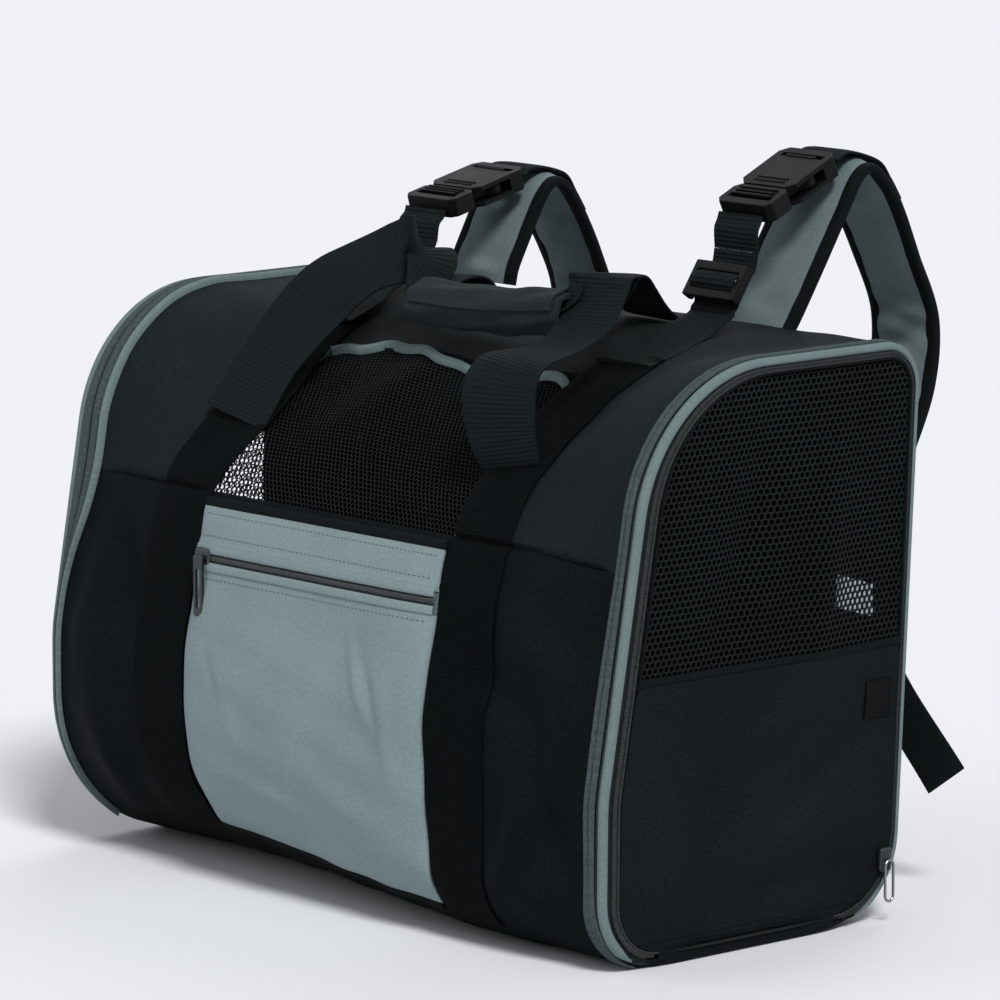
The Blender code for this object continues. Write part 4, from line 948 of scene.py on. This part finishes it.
def makeEnd(side, sign):
    # each trim is a line at its own distance from the end's outline
    word = side.title()
    path, normals = endPath(side, sign, ends["pipingOut"], ends["x"] - 0.0017, 0.0035,
                            ends["pipingLowZ"][side])
    facing = facingX(path)
    slim = ends["pipingR"] * (0.62 + 0.38 * frontShare(normals))
    slim = slim * (0.30 + 0.70 * ease(fromEnds(path) / 0.012))
    tubePiece(f"piping{word}", path, facing, slim, slim, "pipingGrey", "grey_fabric", body="carrier",
              stands=(f"piping_{side}",))
    # black bound edge along the floor, between the two ends of the piping
    points, _, _ = endLine(side, ends["pipingOut"])
    low = points[points[:, 1] <= 0.0085]
    front, back = low[low[:, 0] < 0][:, 0].max(), low[low[:, 0] > 0][:, 0].min()
    y = np.concatenate(([path[0, 1]], np.linspace(front, back, 60), [path[-1, 1]]))
    z = np.concatenate(([path[0, 2]], np.full(60, ends["floorBindZ"]), [path[-1, 2]]))
    floorRoute = smoothRoute(np.stack((np.full_like(y, path[0, 0]), y, z), axis=1), 0.004)
    slim = ends["floorBindR"] * (0.25 + 0.75 * ease(fromEnds(floorRoute) / 0.030))
    tubePiece(f"floorBinding{word}", floorRoute, facingX(floorRoute), slim, slim, "blackBinding",
              "black_fabric", body="carrier")
    for number, (high, thick, look) in enumerate(ends["sillLines"]):
        y = np.linspace(front + 0.004, back - 0.004, 60)
        sill = np.stack((np.full(60, sign * (ends["x"] + 0.0006)), y, high + 0.0012 * (y / 0.1) ** 4), axis=1)
        slim = thick * (0.15 + 0.85 * ease(np.minimum(y - y[0], y[-1] - y) / 0.030))
        tubePiece(f"sillLine{word}{number}", sill, facingX(sill), slim, slim, look, "zip_tape", sides=8,
                  body="carrier")
    # stripes beside the piping: low down they narrow at the left end and widen at the right end
    run = np.linspace(float(frontRun(0.0015)), float(backRun(0.010)), 460)
    spot, _ = onLine(run)
    if side == "left":
        narrow = 0.35 + 0.65 * ease((spot[:, 1] - 0.13) / 0.07)
    else:
        narrow = 1 + 1.2 * bump(spot[:, 1] - 0.012, 0.022)
    for number, (inset, width, thick, look) in enumerate(edgeStripes[side]):
        pull = inset * narrow if side == "left" else np.full_like(run, inset)
        route = np.stack((sign * (bag["wallX"] + 0.0012 - pull), run), axis=1)
        shellBand(f"endStripe{word}{number}", route, width * narrow, 0.0001, thick, look, "grey_fabric",
                  cols=7, edge=0.75, body="carrier")
    # cloth that closes the rim between the shell and the door zip
    rows = []
    for out, x in ((0.0, bag["wallX"] - 0.0030), (-0.0012, bag["wallX"] + 0.0012),
                   (ends["tapeOut"], ends["x"] - 0.0016), (ends["tapeIn"], ends["x"] - 0.0018)):
        points, _, run = endLine(side, out)
        share = np.linspace(0, run[-1], 300)
        y, z = (np.interp(share, run, points[:, k]) for k in (0, 1))
        rows.append(np.stack((np.full(300, sign * x), y, z), axis=1))
    rim = np.array(rows)
    inner = rim - np.array((sign * 0.0012, 0, 0))
    sheetPiece(f"endRim{word}", rim, inner, share[None], np.arange(4)[:, None] * 0.005, "rimGrey",
               "grey_fabric", body="carrier")
    face = ends["x"] - 0.0006
    middle, wide = (ends["tapeOut"] + ends["tapeIn"]) / 2, ends["tapeOut"] - ends["tapeIn"]
    path, normals = endPath(side, sign, middle, face - 0.0006, 0.0035, ends["tapeLowZ"])
    bandPiece(f"zipTape{word}", path, normals, wide * frontShare(normals), 0.0012, "zipTape", "zip_tape",
              cols=9, body="carrier", stands=(f"zip_tape_{side}",))
    for name, out, width, thick, look, slot, ribs, step in (
            ("zipCoil", ends["coil"], 0.0024, 0.0012, "zipCoil", "zip_tape",
             {"pitch": 0.0015, "height": 0.0005}, 0.0004),
            ("zipEdgeOuter", ends["zipLines"][0], 0.0015, 0.0017, "zipEdge", "zip_tape", None, 0.0035),
            ("zipEdgeInner", ends["zipLines"][1], 0.0015, 0.0017, "zipEdge", "zip_tape", None, 0.0035)):
        path, normals = endPath(side, sign, out, face + thick / 2, step, ends["tapeLowZ"])
        bandPiece(f"{name}{word}", path, normals, width * frontShare(normals), thick, look, slot, ribs=ribs,
                  cols=7, edge=0.8, body="carrier")


def makeDoor(side, sign):
    # each piece lies on the door's face plus its bulge
    word, body = side.title(), f"{side}_door"
    outX = lambda y, z, out: sign * (ends["doorFace"] - 0.0010 + doorBulge(y, z) + out)
    place = lambda y, z, out: np.stack((outX(y, z, out), y, z), axis=-1)
    # lower half: solid cloth from the hinge up to the net's hem
    rows, cols = 52, 72
    z = np.linspace(ends["doorLowZ"], ends["netLowZ"] + 0.004, rows)
    front, back = doorSpan(side, ends["doorEdge"], z)
    if side == "left":
        # room for the hanging puller when the door folds down
        room = ends["pullerRoom"]
        back = np.minimum(back, room["y"] + room["slope"] * np.maximum(z - room["z"], 0))
    u = np.linspace(0, 1, cols)
    y = front[:, None] + (back - front)[:, None] * u[None]
    z = np.broadcast_to(z[:, None], y.shape)
    # the door's cloth is the black cloth painted lighter: painted light on the end face
    sheetPiece(f"doorPanel{word}", place(y, z, 0.0010), place(y, z, -0.0010), y, z, "doorClothPaintedLight",
               "black_fabric", body=body, stands=(f"{side}_door_panel",))
    # sewn hinge: cloth that runs from the door down to the bound floor edge
    z = np.linspace(0.0030, ends["doorLowZ"] + 0.0012, 8)
    front, back = doorSpan(side, ends["doorEdge"], z)
    y = front[:, None] + (back - front)[:, None] * np.linspace(0.004, 0.996, 60)[None]
    z = np.broadcast_to(z[:, None], y.shape)
    hinge = sheetPiece(f"doorHinge{word}", place(y, z, 0.0006), place(y, z, -0.0006), y, z, "doorClothPaintedLight",
                       "black_fabric")
    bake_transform(hinge)
    # border round the net, and a hem along its lower edge
    path, normals = endPath(side, sign, ends["doorEdge"] - ends["border"] / 2, 0.0, 0.0035,
                            ends["netLowZ"] - 0.002)
    path[:, 0] = outX(path[:, 1], path[:, 2], 0.0003)
    bandPiece(f"doorBorder{word}", path, normals, ends["border"], 0.0024, "blackBinding", "black_fabric",
              cols=9, edge=0.6, body=body)
    front, back = doorSpan(side, ends["doorEdge"], np.array([ends["netLowZ"] + 0.003]))
    y = np.linspace(front[0] + 0.0005, back[0] - 0.0005, 90)
    z = np.full_like(y, ends["netLowZ"] + 0.0028)
    path = np.stack((outX(y, z, 0.0006), y, z), axis=1)
    bandPiece(f"doorHem{word}", path, np.tile((0.0, 0.0, 1.0), (90, 1)), 0.0040, 0.0022, "blackBinding",
              "black_fabric", cols=7, edge=0.6, body=body)
    # net
    centres = cellCentres(-0.105, 0.112, ends["netLowZ"] - 0.001, 0.290, ends["netPitch"])
    netEdge = ends["doorEdge"] - ends["border"] + 0.0010
    front, back = doorSpan(side, netEdge, centres[:, 1])
    polygon, _, _ = endLine(side, netEdge)
    keep = (centres[:, 0] > front) & (centres[:, 0] < back) & (centres[:, 1] < polygon[:, 1].max() - 0.0005)
    hexNet(f"doorNet{word}", centres[keep], ends["netPitch"], ends["netStrand"][side], ends["netThick"],
           place, "netThread", "net", body=body, stands=(f"{side}_door_mesh",))
    if side == "left":
        # dark sheet behind the rear part of the net: painted shade of the inside where it is seen through the
        # nets
        z = np.linspace(ends["netLowZ"] + 0.001, ends["shadeSheetHighZ"], 40)
        _, back = doorSpan(side, netEdge, z)
        front = ends["shadeSheetFrontY"]
        y = front + (back - front)[:, None] * np.linspace(0, 1, 24)[None]
        z = np.broadcast_to(z[:, None], y.shape)
        sheetPiece("doorShadeSheetLeft", place(y, z, -0.0014), place(y, z, -0.0024), y, z, "paintedInsideShade",
                   "black_fabric", body=body)


for endSide, endSign in (("right", 1), ("left", -1)):
    makeEnd(endSide, endSign)
    makeDoor(endSide, endSign)
print("piped ends and doors made")


# sewn label, left plain, and a plain care label behind the right net

label = {"y": 0.0735, "z": 0.104, "size": 0.019, "careY": (0.0555, 0.0830), "careZ": (0.157, 0.1735)}


def makeLabel():
    # label: a square on the door's bulge with a raised rim; care label: a thin slanted sheet behind the net
    rows = cols = 22
    u, v = np.meshgrid(np.linspace(0, 1, cols), np.linspace(0, 1, rows))
    y, z = label["y"] + u * label["size"], label["z"] + v * label["size"]
    rim = np.maximum(np.abs(u - 0.5), np.abs(v - 0.5)) * 2
    face = ends["doorFace"] + doorBulge(y, z)
    out = 0.0009 + 0.0004 * bump(rim - 0.92, 0.06)
    outer, inner = (np.stack((face + way, y, z), axis=-1) for way in (out, 0.0001))
    sheetPiece("doorLabel", outer, inner, y, z, "labelBlack", "black_fabric", body="right_door",
               stands=("door_label",))
    careY, careZ = np.meshgrid(np.linspace(*label["careY"], 16), np.linspace(*label["careZ"], 12))
    slope = careZ + (careY - 0.073) * -0.30
    face = ends["doorFace"] - 0.0042 + doorBulge(careY, careZ) + 0.0005 * np.sin(careY * 220)
    outer, inner = (np.stack((face + way, careY, slope), axis=-1) for way in (0.0002, -0.0002))
    sheetPiece("careLabel", outer, inner, careY, careZ, "careLabel", "grey_fabric", body="right_door")


makeLabel()


# carry handle: two webbing handles that meet in a wrapped grip

handle = {"grip": (0.034, -0.012, 0.2995), "lean": 0.050, "length": 0.114, "sleeveR": 0.0116, "flapR": 0.0131,
          "thick": 0.0018}
# place, facing of the width and width of each arm, from its sewn end to the middle of the grip
frontArms = {
    "right": ((0.1125, -0.0720, 0.2345, 0.92, 0.39, -0.05, 0.033),
              (0.1125, -0.0750, 0.2405, 0.90, 0.41, 0.00, 0.034),
              (0.1120, -0.0785, 0.2520, 0.88, 0.44, 0.04, 0.036),
              (0.1120, -0.0800, 0.2690, 0.86, 0.455, 0.06, 0.038),
              (0.1115, -0.0765, 0.2790, 0.87, 0.42, 0.00, 0.038),
              (0.1110, -0.0660, 0.2862, 0.92, 0.25, -0.05, 0.037),
              (0.1100, -0.0397, 0.2895, 0.985, -0.16, 0.00, 0.036),
              (0.1085, -0.0230, 0.2965, 0.98, -0.10, -0.10, 0.036),
              (0.1070, -0.0132, 0.3063, 0.98, -0.04, -0.18, 0.036),
              (0.1055, -0.0080, 0.3155, 0.97, 0.15, -0.10, 0.036),
              (0.1045, -0.0050, 0.3215, 0.96, 0.285, -0.02, 0.036),
              (0.1010, 0.0025, 0.3200, 0.80, 0.55, 0.00, 0.030),
              (0.0990, -0.0010, 0.3120, 0.55, 0.80, 0.00, 0.024),
              (0.0940, -0.0090, 0.3060, 0.20, 1.00, 0.00, 0.018),
              (0.0830, -0.0120, 0.3025, 0.00, 1.00, 0.00, 0.015),
              (0.0500, -0.0120, 0.2985, 0.00, 1.00, 0.00, 0.015)),
    "left": ((-0.1015, -0.0700, 0.2345, 0.956, 0.286, -0.05, 0.039),
             (-0.1000, -0.0640, 0.2435, 0.96, 0.22, -0.12, 0.039),
             (-0.0950, -0.0500, 0.2655, 0.964, 0.104, -0.24, 0.039),
             (-0.0850, -0.0288, 0.2923, 0.90, 0.16, -0.40, 0.039),
             (-0.0720, -0.0144, 0.3073, 0.95, 0.12, -0.25, 0.038),
             (-0.0580, 0.0010, 0.3168, 0.90, 0.30, -0.25, 0.036),
             (-0.0470, 0.0095, 0.3200, 0.75, 0.55, -0.30, 0.033),
             (-0.0385, 0.0085, 0.3155, 0.55, 0.75, -0.35, 0.028),
             (-0.0330, 0.0000, 0.3065, 0.25, 0.93, -0.20, 0.022),
             (-0.0270, -0.0090, 0.2985, 0.05, 1.00, 0.00, 0.017),
             (-0.0150, -0.0120, 0.2962, 0.00, 1.00, 0.00, 0.015),
             (0.0080, -0.0120, 0.2962, 0.00, 1.00, 0.00, 0.015)),
}
rearArms = {
    "right": ((0.0680, 0.0640, 0.2918, 1.00, 0.00, 0.00, 0.038),
              (0.0690, 0.0530, 0.2990, 1.00, 0.10, 0.00, 0.038),
              (0.0720, 0.0400, 0.3090, 0.95, 0.30, 0.00, 0.037),
              (0.0790, 0.0270, 0.3165, 0.85, 0.45, 0.00, 0.035),
              (0.0870, 0.0140, 0.3175, 0.70, 0.70, 0.00, 0.030),
              (0.0890, 0.0020, 0.3130, 0.40, 0.90, 0.00, 0.022),
              (0.0830, -0.0080, 0.3065, 0.10, 1.00, 0.00, 0.016),
              (0.0700, -0.0120, 0.3040, 0.00, 1.00, 0.00, 0.014),
              (0.0440, -0.0120, 0.3030, 0.00, 1.00, 0.00, 0.014)),
    "left": ((-0.0680, 0.0640, 0.2918, 1.00, 0.00, 0.00, 0.038),
             (-0.0640, 0.0530, 0.2975, 1.00, 0.10, 0.00, 0.038),
             (-0.0560, 0.0400, 0.3020, 0.95, 0.35, 0.00, 0.036),
             (-0.0460, 0.0250, 0.3045, 0.80, 0.60, 0.00, 0.032),
             (-0.0370, 0.0110, 0.3045, 0.60, 0.80, 0.00, 0.026),
             (-0.0300, -0.0010, 0.3025, 0.30, 0.95, 0.00, 0.020),
             (-0.0220, -0.0090, 0.3005, 0.05, 1.00, 0.00, 0.015),
             (-0.0100, -0.0120, 0.3000, 0.00, 1.00, 0.00, 0.014),
             (0.0100, -0.0120, 0.3005, 0.00, 1.00, 0.00, 0.014)),
}


def handleRoute(arms):
    # columns: place, facing of the width, width; from the left sewn end to the right one
    return smoothRoute(np.concatenate((np.array(arms["left"]), np.array(arms["right"])[::-1])),
                       webbing["ribs"]["pitch"] / 6)


def makeHandle():
    # webbing along the routes of the arms, then sleeve and flap rolled round the grip
    for name, node, arms, low, high in (("frontHandle", "front_handle", frontArms, 0.238, 0.298),
                                        ("rearHandle", "rear_handle", rearArms, 0.2925, 0.3010)):
        route = handleRoute(arms)
        band = bandPiece(name, route[:, :3], route[:, 3:6], route[:, 6], handle["thick"], "blackWebbing",
                         "webbing", ribs=webbing["ribs"], stands=(node,))
        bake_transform(band)
    gx, gy, gz = handle["grip"]
    rows, cols = 90, 44
    x = np.linspace(-0.5, 0.5, rows) * handle["length"]

    def wrap(radius, start, end):
        # cloth rolled round the grip: a little flatter below, leaning along its length, with slack folds
        angle = np.radians(np.linspace(start, end, cols))[None]
        slack = 0.0006 * np.sin(x * 160)[:, None] * np.sin(angle * 3) + 0.0005 * np.sin(angle * 7
                                                                                        + x[:, None] * 60)
        reach = radius * (1 - 0.05 * np.sin(angle) ** 2) + slack
        drop = handle["lean"] * x - 0.0022 * np.cos(x / handle["length"] * np.pi)
        return np.stack((np.broadcast_to(gx + x[:, None], (rows, cols)), gy + reach * np.cos(angle),
                         gz + drop[:, None] + reach * np.sin(angle)), axis=-1)

    for name, radius, wall, start, end, trim, body, node in (
            ("gripSleeve", handle["sleeveR"], 0.0024, 78, -258, 1.0, "handle", "grip_sleeve"),
            ("gripFlap", handle["flapR"], 0.0014, 12, 170, 0.94, "grip_flap", "grip_flap")):
        outer, inner = wrap(radius, start, end), wrap(radius - wall, start, end)
        for cloth in (outer, inner):
            cloth[..., 0] = gx + (cloth[..., 0] - gx) * trim
        girth = np.linspace(0, abs(end - start) / 57.3 * radius, cols)
        sheetPiece(name, outer, inner, girth[None], x[:, None], "gripCloth", "webbing", body=body,
                   stands=(node,))


makeHandle()
print("carry handle made")


# padded shoulder straps, grey with black bound edges

strap = {"x": 0.113, "width": 0.052, "thick": 0.009, "bindWide": 0.0040, "bindHigh": 0.0027, "pressure": 4.0,
         "cap": 0.005, "path": {"right": ((0.0935, 0.2880), (0.100, 0.2972), (0.115, 0.3205), (0.131, 0.346),
                            (0.141, 0.3615), (0.150, 0.366),
                            (0.159, 0.359), (0.170, 0.345), (0.184, 0.318), (0.1985, 0.285), (0.196, 0.250),
                            (0.180, 0.215), (0.164, 0.188)),
                  "left": ((0.1090, 0.2880), (0.1115, 0.2972), (0.1195, 0.3125), (0.1285, 0.3285),
                           (0.1345, 0.337), (0.1415, 0.3405),
                           (0.149, 0.3360), (0.160, 0.3210), (0.172, 0.300), (0.181, 0.278), (0.183, 0.250),
                           (0.175, 0.215), (0.164, 0.188))}}


def strapLine(side, step):
    # smooth curve through the depths and heights of a strap, at its x
    points = np.array(strap["path"][side])
    sign = 1 if side == "right" else -1
    full = np.concatenate((np.full((len(points), 1), sign * strap["x"]), points), axis=1)
    return smoothRoute(full, step)


def inflate(pad, sewn, pressure, cap):
    # air pressure in the cloth for 20 frames, from a slim shape; sewn points stay, none moves past the cap
    count = len(pad.data.vertices)
    start = np.empty(count * 3)
    pad.data.vertices.foreach_get("co", start)
    held = pad.vertex_groups.new(name="sewn")
    held.add(np.flatnonzero(sewn).tolist(), 1.0, "REPLACE")
    cloth = pad.modifiers.new("air", "CLOTH")
    cloth.settings.quality = 6
    cloth.settings.mass = 0.3
    cloth.settings.use_pressure = True
    cloth.settings.uniform_pressure_force = pressure
    cloth.settings.vertex_group_mass = "sewn"
    cloth.settings.effector_weights.gravity = 0.0
    cloth.point_cache.frame_start, cloth.point_cache.frame_end = 1, 20
    for step in range(1, 21):
        scene.frame_set(step)
    swollen = pad.evaluated_get(bpy.context.evaluated_depsgraph_get())
    end = np.empty(count * 3)
    swollen.data.vertices.foreach_get("co", end)
    move = (end - start).reshape(-1, 3)
    size = np.linalg.norm(move, axis=1, keepdims=True)
    move *= np.minimum(1.0, cap / np.maximum(size, 1e-9))
    pad.modifiers.remove(cloth)
    pad.vertex_groups.remove(held)
    scene.frame_set(1)
    pad.data.vertices.foreach_set("co", start + move.ravel())
    pad.data.update()
    print("air in", pad.name, "moved it", round(float(np.linalg.norm(move, axis=1).max()) * 1000, 2), "mm")


def makeStrap(side, sign):
    # pad: path + facing * u * half width, up and down its normal by swell + wrinkle; then its bound edges
    word, body = side.title(), f"{side}_strap"
    path = strapLine(side, 0.0022)
    along = alongOf(path)
    facing = facingX(path)
    normal = np.cross(along, facing)
    run = runOf(path)
    cols = 31
    u = np.linspace(-1, 1, cols)
    bend = np.linalg.norm(np.gradient(along, axis=0), axis=1) / np.gradient(run)
    tuck = np.clip(bend / 40, 0, 1)[:, None]
    swell = (0.0030 + 0.0040 * (1 - np.abs(u) ** 3.0))[None] * np.ones((len(run), 1)) / 2
    low = bump(run - run[-1] + 0.075, 0.045)[:, None]
    wave = np.sin(run[:, None] * 205 + u[None] * 2.4 + 1.6 * np.sin(run[:, None] * 61))
    wave = wave + 0.5 * np.sin(run[:, None] * 410 - u[None] * 1.7)
    wrinkle = 0.0009 * wave * (1 - u[None] ** 2) * (0.35 + tuck + low)
    puffed = swell + wrinkle
    crestRun = run[int(np.argmax(path[:, 2]))]
    half = strap["width"] / 2 * (1 - 0.09 * ease((run - crestRun - 0.010) / 0.060))
    middle = path[:, None] + facing[:, None] * (u[None] * (half - 0.0028)[:, None])[..., None]
    lift = puffed[..., None] * normal[:, None]
    pad = sheetPiece(f"strapPad{word}", middle + lift, middle - lift, u[None] * 0.03, run[:, None],
                     "strapGrey", "grey_fabric", body=body, stands=(f"strap_pad_{side}",))
    rim = np.broadcast_to(np.abs(u)[None] > 0.93, puffed.shape).ravel()
    inflate(pad, np.concatenate((rim, rim)), strap["pressure"], strap["cap"])
    for edge, way in (("Outer", sign), ("Inner", -sign)):
        line = path + facing * way * (half - strap["bindWide"])[:, None]
        tubePiece(f"strapBinding{word}{edge}", line, facing, strap["bindWide"], strap["bindHigh"],
                  "blackBinding", "black_fabric", sides=14, power=2.6, body=body)


# buckles, lifter webbing and the lower webbing with its ladder lock

buckle = {"front": {"right": (0.0827, 0.3470), "left": (0.0722, 0.3303)}, "slope": {"right": 25, "left": 14},
          "plugLength": 0.018, "socketLength": 0.036, "gap": 0.0004, "thick": 0.011}
# the slider's place and slope, and how its webbing goes through: step along it and height over its bars
glide = {"at": {"right": (0.0655, 0.3130), "left": (0.0470, 0.3040)}, "slope": {"right": 56, "left": 35},
         "through": ((-0.0125, -0.0046), (-0.0085, -0.0046), (-0.0035, 0.0026), (0.0, 0.0042),
                     (0.0035, 0.0026), (0.0085, -0.0046), (0.0135, -0.0046), (0.0195, -0.0020))}
lifter = {"width": 0.031, "thick": 0.0018}
lower = {"width": 0.025, "thick": 0.0016, "lockHalf": 0.013, "ribs": {"pitch": 0.0018, "height": 0.0003}}


def flatWay(degrees):
    # direction in depth and height at an angle from Y
    turn = math.radians(degrees)
    return np.array((math.cos(turn), math.sin(turn)))


def at(sign, points):
    # points of depth and height, set at the webbing's x
    points = np.asarray(points, float)
    return np.concatenate((np.full((len(points), 1), sign * webbing["x"]), points), axis=1)


def makeBuckle(side, sign):
    # webbing from the band through the slider, then from there to the plug's bar
    word = side.title()
    along = flatWay(buckle["slope"][side])
    mouth = np.array(buckle["front"][side]) + along * (buckle["plugLength"] + buckle["gap"])
    way = flatWay(glide["slope"][side])
    spot = np.array(glide["at"][side])
    rootSpot = onShell(np.array([sign * webbing["x"]]), np.array([topRun(webbing["endY"] - 0.0120)]),
                       0.0040)[0, 1:]
    reach = spot - way * 0.019
    flatOut = np.array((-way[1], way[0]))
    overBars = [spot + way * step + flatOut * high for step, high in glide["through"]]
    lowerLine = [rootSpot, rootSpot + (reach - rootSpot) * (0.45, 0.32), reach - flatOut * 0.0030, *overBars]
    path = smoothRoute(at(sign, lowerLine), webbing["ribs"]["pitch"] / 6)
    facing = facingX(path)
    wider = 1 - ease(2.4 * runOf(path) / np.linalg.norm(reach - rootSpot) - 1.5)
    width = lifter["width"] + (webbing["width"] - lifter["width"]) * wider
    band = bandPiece(f"lifterWebbing{word}", path, facing, width, lifter["thick"], "blackWebbing", "webbing",
                     ribs=webbing["ribs"], stands=(f"lifter_webbing_{side}",))
    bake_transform(band)
    bar = mouth - along * (buckle["plugLength"] + 0.0022)
    first = spot + way * 0.0198
    upperLine = [first - flatOut * 0.0020, first * 0.5 + bar * 0.5 - (0.0010, 0.0),
                 bar - (0.0012, 0.0035), bar]
    path = smoothRoute(at(sign, upperLine), webbing["ribs"]["pitch"] / 6)
    facing = facingX(path)
    band = bandPiece(f"plugWebbing{word}", path, facing, lifter["width"], lifter["thick"], "blackWebbing",
                     "webbing", ribs=webbing["ribs"], stands=(f"plug_webbing_{side}",))
    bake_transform(band)
    # short webbing from the socket's bar over the strap's crest
    path = strapLine(side, 0.002)
    crest = int(np.argmax(path[:, 2]))
    over = path[crest - 2:crest + 22]
    lifted = over + np.cross(facingX(over), alongOf(over)) * (strap["thick"] / 2 + 0.0044)
    start = mouth + along * (buckle["socketLength"] + 0.0012)
    tab = np.concatenate((at(sign, [start]), at(sign, lifted[::6, 1:])))
    route = smoothRoute(tab, webbing["ribs"]["pitch"] / 6)
    facing = facingX(route)
    bandPiece(f"socketTab{word}", route, facing, lifter["width"], lifter["thick"], "blackWebbing", "webbing",
              ribs=webbing["ribs"], body=f"{side}_strap", stands=(f"socket_tab_{side}",))


def makeBuckleRibs(side, sign):
    # raised bars moulded on the buckle: three across the plug's end and a frame on the socket's back
    word = side.title()
    along, out = flatWay(buckle["slope"][side]), flatWay(buckle["slope"][side] + 90)
    front = np.array(buckle["front"][side])
    for name, body, reach, half, size in (
            ("plugRib", f"{side}_plug", (0.0085, 0.0115, 0.0145), 0.0135, 0.0007),
            ("socketRib", f"{side}_strap", (0.0225, 0.0255, 0.0470), 0.0105, 0.0008)):
        for number, step in enumerate(reach):
            spot = front + along * step + out * (buckle["thick"] / 2)
            line = at(sign, np.repeat([spot], 12, axis=0))
            line[:, 0] += np.linspace(-half, half, 12)
            tubePiece(f"{name}{word}{number}", line, np.tile((0.0, *along), (12, 1)), size, size * 0.9,
                      "buckle", "buckle_plastic", sides=8, body=body)


def makeLower(side, sign):
    # webbing from the ladder lock to the back panel, and the loose tail of the right strap
    word = side.title()
    path = strapLine(side, 0.002)
    way = alongOf(path)[-1][1:]
    lockAt = path[-1][1:] + way * (lower["lockHalf"] + 0.0015)
    anchorSpot, anchorNormal = onLine(np.array([backRun(0.046)]))
    anchor = (anchorSpot + anchorNormal * 0.0022)[0]
    leave = lockAt + way * (lower["lockHalf"] + 0.0015)
    run = np.array([(sign * strap["x"], *leave),
                    (sign * 0.128, *(leave * 0.55 + anchor * 0.45 + (0.004, 0.0))),
                    (sign * 0.150, *(anchor + (0.0085, 0.034))), (sign * 0.156, *anchor)])
    route = smoothRoute(run, lower["ribs"]["pitch"] / 5)
    band = bandPiece(f"lowerWebbing{word}", route, facingX(route), lower["width"], lower["thick"],
                     "blackWebbing", "webbing", ribs=lower["ribs"], stands=(f"lower_webbing_{side}",))
    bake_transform(band)
    if side == "left":
        return
    start = lockAt + way * 0.004 - np.array((way[1], -way[0])) * 0.0060
    hang = np.array([(strap["x"], *start), (0.126, 0.163, 0.150), (0.148, 0.148, 0.112),
                     (0.188, 0.156, 0.058)])
    route = smoothRoute(hang, lower["ribs"]["pitch"] / 5)
    facing = np.linspace((1.0, 0.0, 0.0), (0.85, 0.25, 0.45), len(route))
    tail = bandPiece("strapTail", route, facing, lower["width"], lower["thick"], "blackWebbing", "webbing",
                     ribs=lower["ribs"], stands=("strap_tail",))
    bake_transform(tail)


for strapSide, strapSign in (("right", 1), ("left", -1)):
    makeStrap(strapSide, strapSign)
    makeBuckle(strapSide, strapSign)
    makeBuckleRibs(strapSide, strapSign)
    makeLower(strapSide, strapSign)
print("straps and buckles made")


# padded floor mat and back pad

inside = {"matSize": (0.399, 0.158, 0.015), "matZ": 0.0153, "padSize": (0.150, 0.190, 0.010), "padZ": 0.150,
          "padOut": 0.0064, "pressure": 3.0, "cap": 0.005}


def cushionPiece(name, size, crown, drawIn, place, look, slot, stands):
    # pillow: crowned faces, and sides that pull in between the corners
    rows = cols = 44
    u, v = np.meshgrid(np.linspace(-1, 1, cols), np.linspace(-1, 1, rows))
    swell = (1 - np.abs(u) ** 4) * (1 - np.abs(v) ** 4)
    x, y = u * (size[0] / 2 - drawIn * (1 - v * v)), v * (size[1] / 2 - drawIn * (1 - u * u))
    high = size[2] / 2 - crown * (1 - swell)
    pad = sheetPiece(name, place(x, y, high), place(x, y, -high), x, y, look, slot, body="carrier",
                     stands=stands)
    rim = (np.maximum(np.abs(u), np.abs(v)) > 0.97).ravel()
    channel = (np.abs(np.abs(u) - 1 / 3) < 0.03).ravel()
    inflate(pad, np.concatenate((rim | channel, np.ones(rows * cols, bool))), inside["pressure"],
            inside["cap"])


def floorLine(x, y):
    # keeps the board and the mat clear of the rounder front edge towards the left
    return y + 0.030 * softShare(x) * np.clip((0.02 - y) / 0.10, 0, 1)


def makeInside():
    # mat on the floor, pad on the back wall and the board below
    onFloor = lambda x, y, z: np.stack((x, floorLine(x, y), z + inside["matZ"]), axis=-1)
    cushionPiece("floorMat", inside["matSize"], 0.004, 0.003, onFloor, "matCloth", "grey_fabric",
                 ("floor_mat",))
    spot, normal = onLine(np.array([backRun(inside["padZ"])]))
    spot, normal = spot[0] + normal[0] * inside["padOut"], normal[0]
    upward = np.array((-normal[1], normal[0]))
    onBack = lambda x, y, z: np.stack((x, spot[0] + y * upward[0] + z * normal[0],
                                       spot[1] + y * upward[1] + z * normal[1]), axis=-1)
    cushionPiece("backPad", inside["padSize"], 0.003, 0.003, onBack, "blackCloth", "black_fabric",
                 ("back_pad",))
    low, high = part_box("base_board")
    x, y = np.meshgrid(np.linspace(low[0], high[0], 60), np.linspace(low[1], high[1], 24))
    over, under = (np.stack((x, floorLine(x, y), np.full_like(x, z)), axis=-1) for z in (high[2], low[2]))
    sheetPiece("baseBoard", over, under, x, y, "board", "board", body="carrier", stands=("base_board",))


makeInside()
print("mat, back pad and board made")

# carried-over solids get their own finishes and slightly rounded edges
for node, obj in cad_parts.items():
    look = None
    if node.startswith(("buckle_", "tri_glide", "ladder_lock")):
        look, edgeRound = "buckle", 0.0007
    elif "slider" in node or "puller" in node:
        look, edgeRound = ("gunmetal" if "slider" in node or "pocket" in node else "nickel"), 0.0003
    if look:
        obj.data.materials.clear()
        obj.data.materials.append(finish[look])
        weld = obj.modifiers.new("weld", "WELD")
        weld.merge_threshold = 0.00001
        bevel = obj.modifiers.new("roundedEdges", "BEVEL")
        bevel.width = edgeRound
        bevel.segments = 2
        bevel.limit_method = "ANGLE"
        bevel.angle_limit = math.radians(35)
        bevel.harden_normals = False
